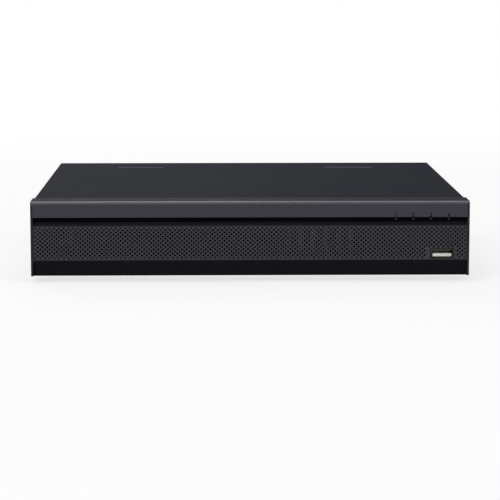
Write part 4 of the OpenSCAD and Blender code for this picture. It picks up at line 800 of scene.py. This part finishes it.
def boardPlaces():
    # grid places on the main board, a little shaken, clear of all that stands on it, thinned in soft patches
    low, high = boxOf("main_board")
    top, edge = high[2], board["edge"]
    taken = [box for node in slotNames if node not in ("main_board", "sata_cable", "front_cable")
             for box in islands(node) if box[0][2] < top + 1 and box[1][2] > top + 0.02
             and (box[1] - box[0]).max() < board["largest"]]
    chance = np.random.default_rng(board["seed"])
    x, y = np.meshgrid(*(np.arange(low[k] + edge[0], high[k] - edge[1], board["pitch"]) for k in (0, 1)))
    shaken = chance.uniform(-board["shake"], board["shake"], (x.size, 2))
    places = np.stack([x.ravel(), y.ravel()], -1) + shaken
    waves = places / board["patches"]
    patch = np.sin(waves[:, 0]) + np.cos(waves[:, 1]) + chance.uniform(-1, 1, x.size)
    places = places[patch > board["fullest"]]
    boxLow, boxHigh = (np.array([box[k][:2] for box in taken]) for k in (0, 1))
    gap = np.maximum(boxLow - places[:, None], places[:, None] - boxHigh).max(-1).min(-1)
    places = places[gap > board["clear"]]
    # a place counts where the board is whole all round it: four rays from above meet it near its top
    tree, above, solid = treeOf(inside["main_board"]), 5, board["solid"]
    down, reach = Vector((0, 0, -1)), (above + board["depth"]) * mm
    whole = [all((tree.ray_cast(Vector((px + dx, py + dy, top + above)) * mm, down)[3] or 1) < reach
                 for dx in (-solid, solid) for dy in (-solid, solid)) for px, py in places]
    return places[whole], top


def makeSmallParts():
    # chip resistors and capacitors: a body with a tinned end at either side, turned alike within each patch
    places, top = boardPlaces()
    long, wide, high = board["chip"]
    turned = (np.floor(places / board["turns"]).sum(1) % 2).astype(bool)
    aim = np.where(turned[:, None], [[0.0, 1.0]], [[1.0, 0.0]])
    side = aim[:, ::-1]
    chance = np.random.default_rng(board["seed"] + 1)
    brown = chance.uniform(0, 1, len(places)) < 0.5

    def pieces(start, end, width, height, rows):
        near = np.column_stack([places + aim * start - side * width / 2, np.full(len(places), top)])
        far = np.column_stack([places + aim * end + side * width / 2, np.full(len(places), top + height)])
        return boxes(near[rows], far[rows])

    body, inner, waist = bodyOf("main_board"), long / 2 - board["end"], wide * board["waist"]
    resistors = pieces(-inner, inner, waist, high * board["low"], ~brown)
    ceramics = pieces(-inner, inner, waist, high * board["tall"], brown)
    makePiece("board_resistors", [resistors], body, "chip_black")
    makePiece("board_ceramics", [ceramics], body, "ivory_plastic",
              finish=smoothPlastic("ceramicTan", board["tan"], 0.5, 0.1))
    ends = [pieces(start, end, wide, high * board[height], rows)
            for height, rows in (("lowEnd", ~brown), ("tallEnd", brown))
            for start, end in ((-long / 2, -inner), (inner, long / 2))]
    makePiece("board_part_ends", ends, body, "tinned_steel")
    return len(places)


def makeLegs():
    # gull-wing legs along each chip's two longer sides, a printed frame round it and a dot at its first leg
    legs, frames, dots = [], [], []
    for low, high in islands("board_chips"):
        size, top = high - low, low[2]
        gap, line = board["silkGap"], board["silk"]
        outer = np.array([low[:2] - gap, high[:2] + gap])
        for axis in (0, 1):
            for edge in outer[:, axis]:
                a, b = np.array([*outer[0], top]), np.array([*outer[1], top + figures["ink"]])
                a[axis], b[axis] = edge - line / 2, edge + line / 2
                frames.append((a, b))
        if size[:2].max() > board["largestLegged"]:
            continue
        across = int(size[0] > size[1])
        along = 1 - across
        count = int((size[along] - board["legMargin"]) / board["legPitch"])
        run = (low + high)[along] / 2 + (np.arange(count) - (count - 1) / 2) * board["legPitch"]
        for edge, way in ((low[across], -1), (high[across], 1)):
            for start, end, foot, rise in board["legs"]:
                a, b = np.zeros((count, 3)), np.zeros((count, 3))
                a[:, across], b[:, across] = edge + way * start, edge + way * end
                a[:, along], b[:, along] = run - board["legWidth"] / 2, run + board["legWidth"] / 2
                a[:, 2], b[:, 2] = top + foot, top + rise
                legs.append(boxes(a, b))
        turn = np.linspace(0, 2 * np.pi, 12, endpoint=False)
        dot = low[:2] + board["dotIn"] + board["dot"] * np.stack([np.cos(turn), np.sin(turn)], -1)
        dots.append(prism(dot, high[2], high[2] + figures["ink"]))
    body = bodyOf("board_chips")
    makePiece("chip_legs", legs, body, "tinned_steel")
    a, b = (np.array([pair[k] for pair in frames]) for k in (0, 1))
    makePiece("board_print", [boxes(a, b), *dots], body, "white_plastic")
    return len(legs)


print("board: %d small parts, legs in %d rows" % (makeSmallParts(), makeLegs()))

# ownWhite is how much of the paper looks its own white up to near metres out, and from far on all of it does
# side is half the paper's width in metres, and sky how bright the room's light is
studio = dict(floor=linear(244, 244, 245), ownWhite=0.72, near=0.3, far=1.0, side=24.0, sky=0.42)
# each light's place and size in metres, and its power; all look at the object
lights = {
    "overheadLight": ((0, -0.15, 1.5), (1.1, 0.6), 7.5),
    "keyLight": ((-1.0, -1.3, 1.2), (1.2, 0.9), 10.0),
    "fillLight": ((1.3, -1.2, 0.9), (1.2, 1.0), 6.0),
    "backLight": ((-0.6, 1.6, 1.1), (1.6, 1.0), 13.0),
}


def seenPlainly(tree):
    # 1 where the lens, a reflection or a clear part looks straight at something, and 0 in the light it sheds
    rays = tree.nodes.new("ShaderNodeLightPath").outputs
    seen = rays["Is Camera Ray"]
    for ray in ("Is Glossy Ray", "Is Transmission Ray"):
        either = tree.nodes.new("ShaderNodeMath")
        either.operation = "MAXIMUM"
        tree.links.new(seen, either.inputs[0])
        tree.links.new(rays[ray], either.inputs[1])
        seen = either.outputs[0]
    return seen


def makePaper():
    # white paper: as the lens and the reflections see it, mostly its own white, with the object's shadow kept
    paper = bpy.data.materials.new("paperSweep")
    paper.use_nodes = True
    tree = paper.node_tree
    tree.nodes.clear()
    kinds = ("TexCoord", "VectorMath", "MapRange", "Math", "BsdfDiffuse", "Emission", "MixShader",
             "OutputMaterial")
    place, far, whole, share, matt, white, mix, out = (tree.nodes.new("ShaderNode" + kind) for kind in kinds)
    matt.inputs["Color"].default_value = studio["floor"]
    # far from the object the paper is all its own white, so that no horizon shows
    far.operation, whole.interpolation_type, share.operation = "LENGTH", "SMOOTHSTEP", "MULTIPLY"
    for socket, name in (("From Min", "near"), ("From Max", "far"), ("To Min", "ownWhite")):
        whole.inputs[socket].default_value = studio[name]
    tree.links.new(place.outputs["Object"], far.inputs[0])
    tree.links.new(far.outputs["Value"], whole.inputs["Value"])
    for target, sources in ((share, (seenPlainly(tree), whole.outputs[0])),
                            (mix, (share.outputs[0], matt.outputs[0], white.outputs[0])),
                            (out, (mix.outputs[0],))):
        for k, source in enumerate(sources):
            tree.links.new(source, target.inputs[k])
    return paper


def makeSky():
    # a white room, dimmer as a light than as it is seen
    world = bpy.data.worlds.new("studioSky")
    bpy.context.scene.world = world
    world.use_nodes = True
    tree = world.node_tree
    tree.nodes.clear()
    level, sky, out = (tree.nodes.new("ShaderNode" + kind)
                       for kind in ("MapRange", "Background", "OutputWorld"))
    level.inputs["To Min"].default_value = studio["sky"]
    tree.links.new(seenPlainly(tree), level.inputs["Value"])
    tree.links.new(level.outputs[0], sky.inputs["Strength"])
    tree.links.new(sky.outputs[0], out.inputs["Surface"])


def makeFloor():
    # the paper lies at the height the object stands on, and isn't a piece of it
    side = studio["side"]
    mesh = bpy.data.meshes.new("studioFloor")
    around = ((-side, -side, 0), (side, -side, 0), (side, side, 0), (-side, side, 0))
    mesh.from_pydata(around, [], [(0, 1, 2, 3)])
    floor = bpy.data.objects.new("studioFloor", mesh)
    bpy.context.scene.collection.objects.link(floor)
    mesh.materials.append(makePaper())


def softBox(name, at, size, power):
    # a rectangular light that looks at the object
    light = bpy.data.lights.new(name, "AREA")
    light.shape, light.size, light.size_y, light.energy = "RECTANGLE", *size, power
    lamp = bpy.data.objects.new(name, light)
    lamp.location = at
    lamp.rotation_euler = Vector(at).to_track_quat("Z", "Y").to_euler()
    bpy.context.scene.collection.objects.link(lamp)


makeSky()
makeFloor()
for name, (at, size, power) in lights.items():
    softBox(name, at, size, power)
bpy.context.scene.view_settings.view_transform = "Standard"
print("stage")


def finished(piece):
    # a piece's finished vertices, in mm
    evaluated = piece.evaluated_get(bpy.context.evaluated_depsgraph_get())
    places = corners(evaluated.to_mesh()) / mm
    evaluated.to_mesh_clear()
    return places


def outermost(places, right, down):
    # the one that shows furthest in a direction across the picture
    shown = seenAt(places)
    return shown[(shown @ np.array([right, down])).argmax()]


def middleOf(places):
    # where the middle of a piece's box shows
    return seenAt((places.min(0) + places.max(0)) / 2)


# where the band's lower edge and the stamped recesses lie, in mm
looked = dict(bandFoot=38.1, face=-118.2, recessOver=47.3, recessBack=80, recessDeep=8, recessOut=100)


def whereShown():
    # how far from its image point each place shows, in the photograph's pixels
    bezel, cover = finished(housing["front_bezel"]), finished(housing["top_cover"])
    grilleEdge, pipes = finished(grilleFace), finished(housing["light_pipes"])
    tongue = finished(sockets["usb_tongue_front"])
    foot = bezel[(abs(bezel[:, 2] - looked["bandFoot"]) < 0.3) & (bezel[:, 1] < looked["face"])]
    grooves = cover[(cover[:, 2] > looked["recessOver"]) & (abs(cover[:, 0]) < looked["recessOut"])
                    & (abs(cover[:, 1] - looked["recessBack"]) < looked["recessDeep"])]
    shows = {
        "leftEdge": outermost(bezel, -1, -0.3), "rightEdge": outermost(bezel, 1, -0.3),
        "backLeft": outermost(cover, -1, -1.5), "backRight": outermost(cover, 1, -1.5),
        "grooveStart": outermost(grooves, -1, 0), "grooveEnd": outermost(grooves, 1, 0),
        "bandFoot": outermost(foot, -1, 0),
        "grilleTop": outermost(grilleEdge, -1, -1), "grilleFoot": outermost(grilleEdge, 1, 1),
        "usbTongue": middleOf(tongue[tongue[:, 1] < tongue[:, 1].min() + 0.2]),
        "firstHole": outermost(grilleHoles, -1, -1), "lastHole": outermost(grilleHoles, 1, 1),
    }
    for (low, high), word in zip(islands("light_pipes"), ("One", "Two", "Three", "Four")):
        pipe = pipes[(pipes[:, 0] > low[0] - 0.1) & (pipes[:, 0] < high[0] + 0.1)]
        shows["lamp" + word] = middleOf(pipe[pipe[:, 1] < pipe[:, 1].min() + 0.1])
    numerals = finished(lampFigures)
    across, numeral = numerals[:, 0], 3
    shows["numeralOne"] = middleOf(numerals[across < across.min() + numeral])
    shows["numeralFour"] = middleOf(numerals[across > across.max() - numeral])
    return {name: [round(float(at - point), 2) for at, point in zip(shows[name], imagePoints[name])]
            for name in imagePoints}


whereShown()
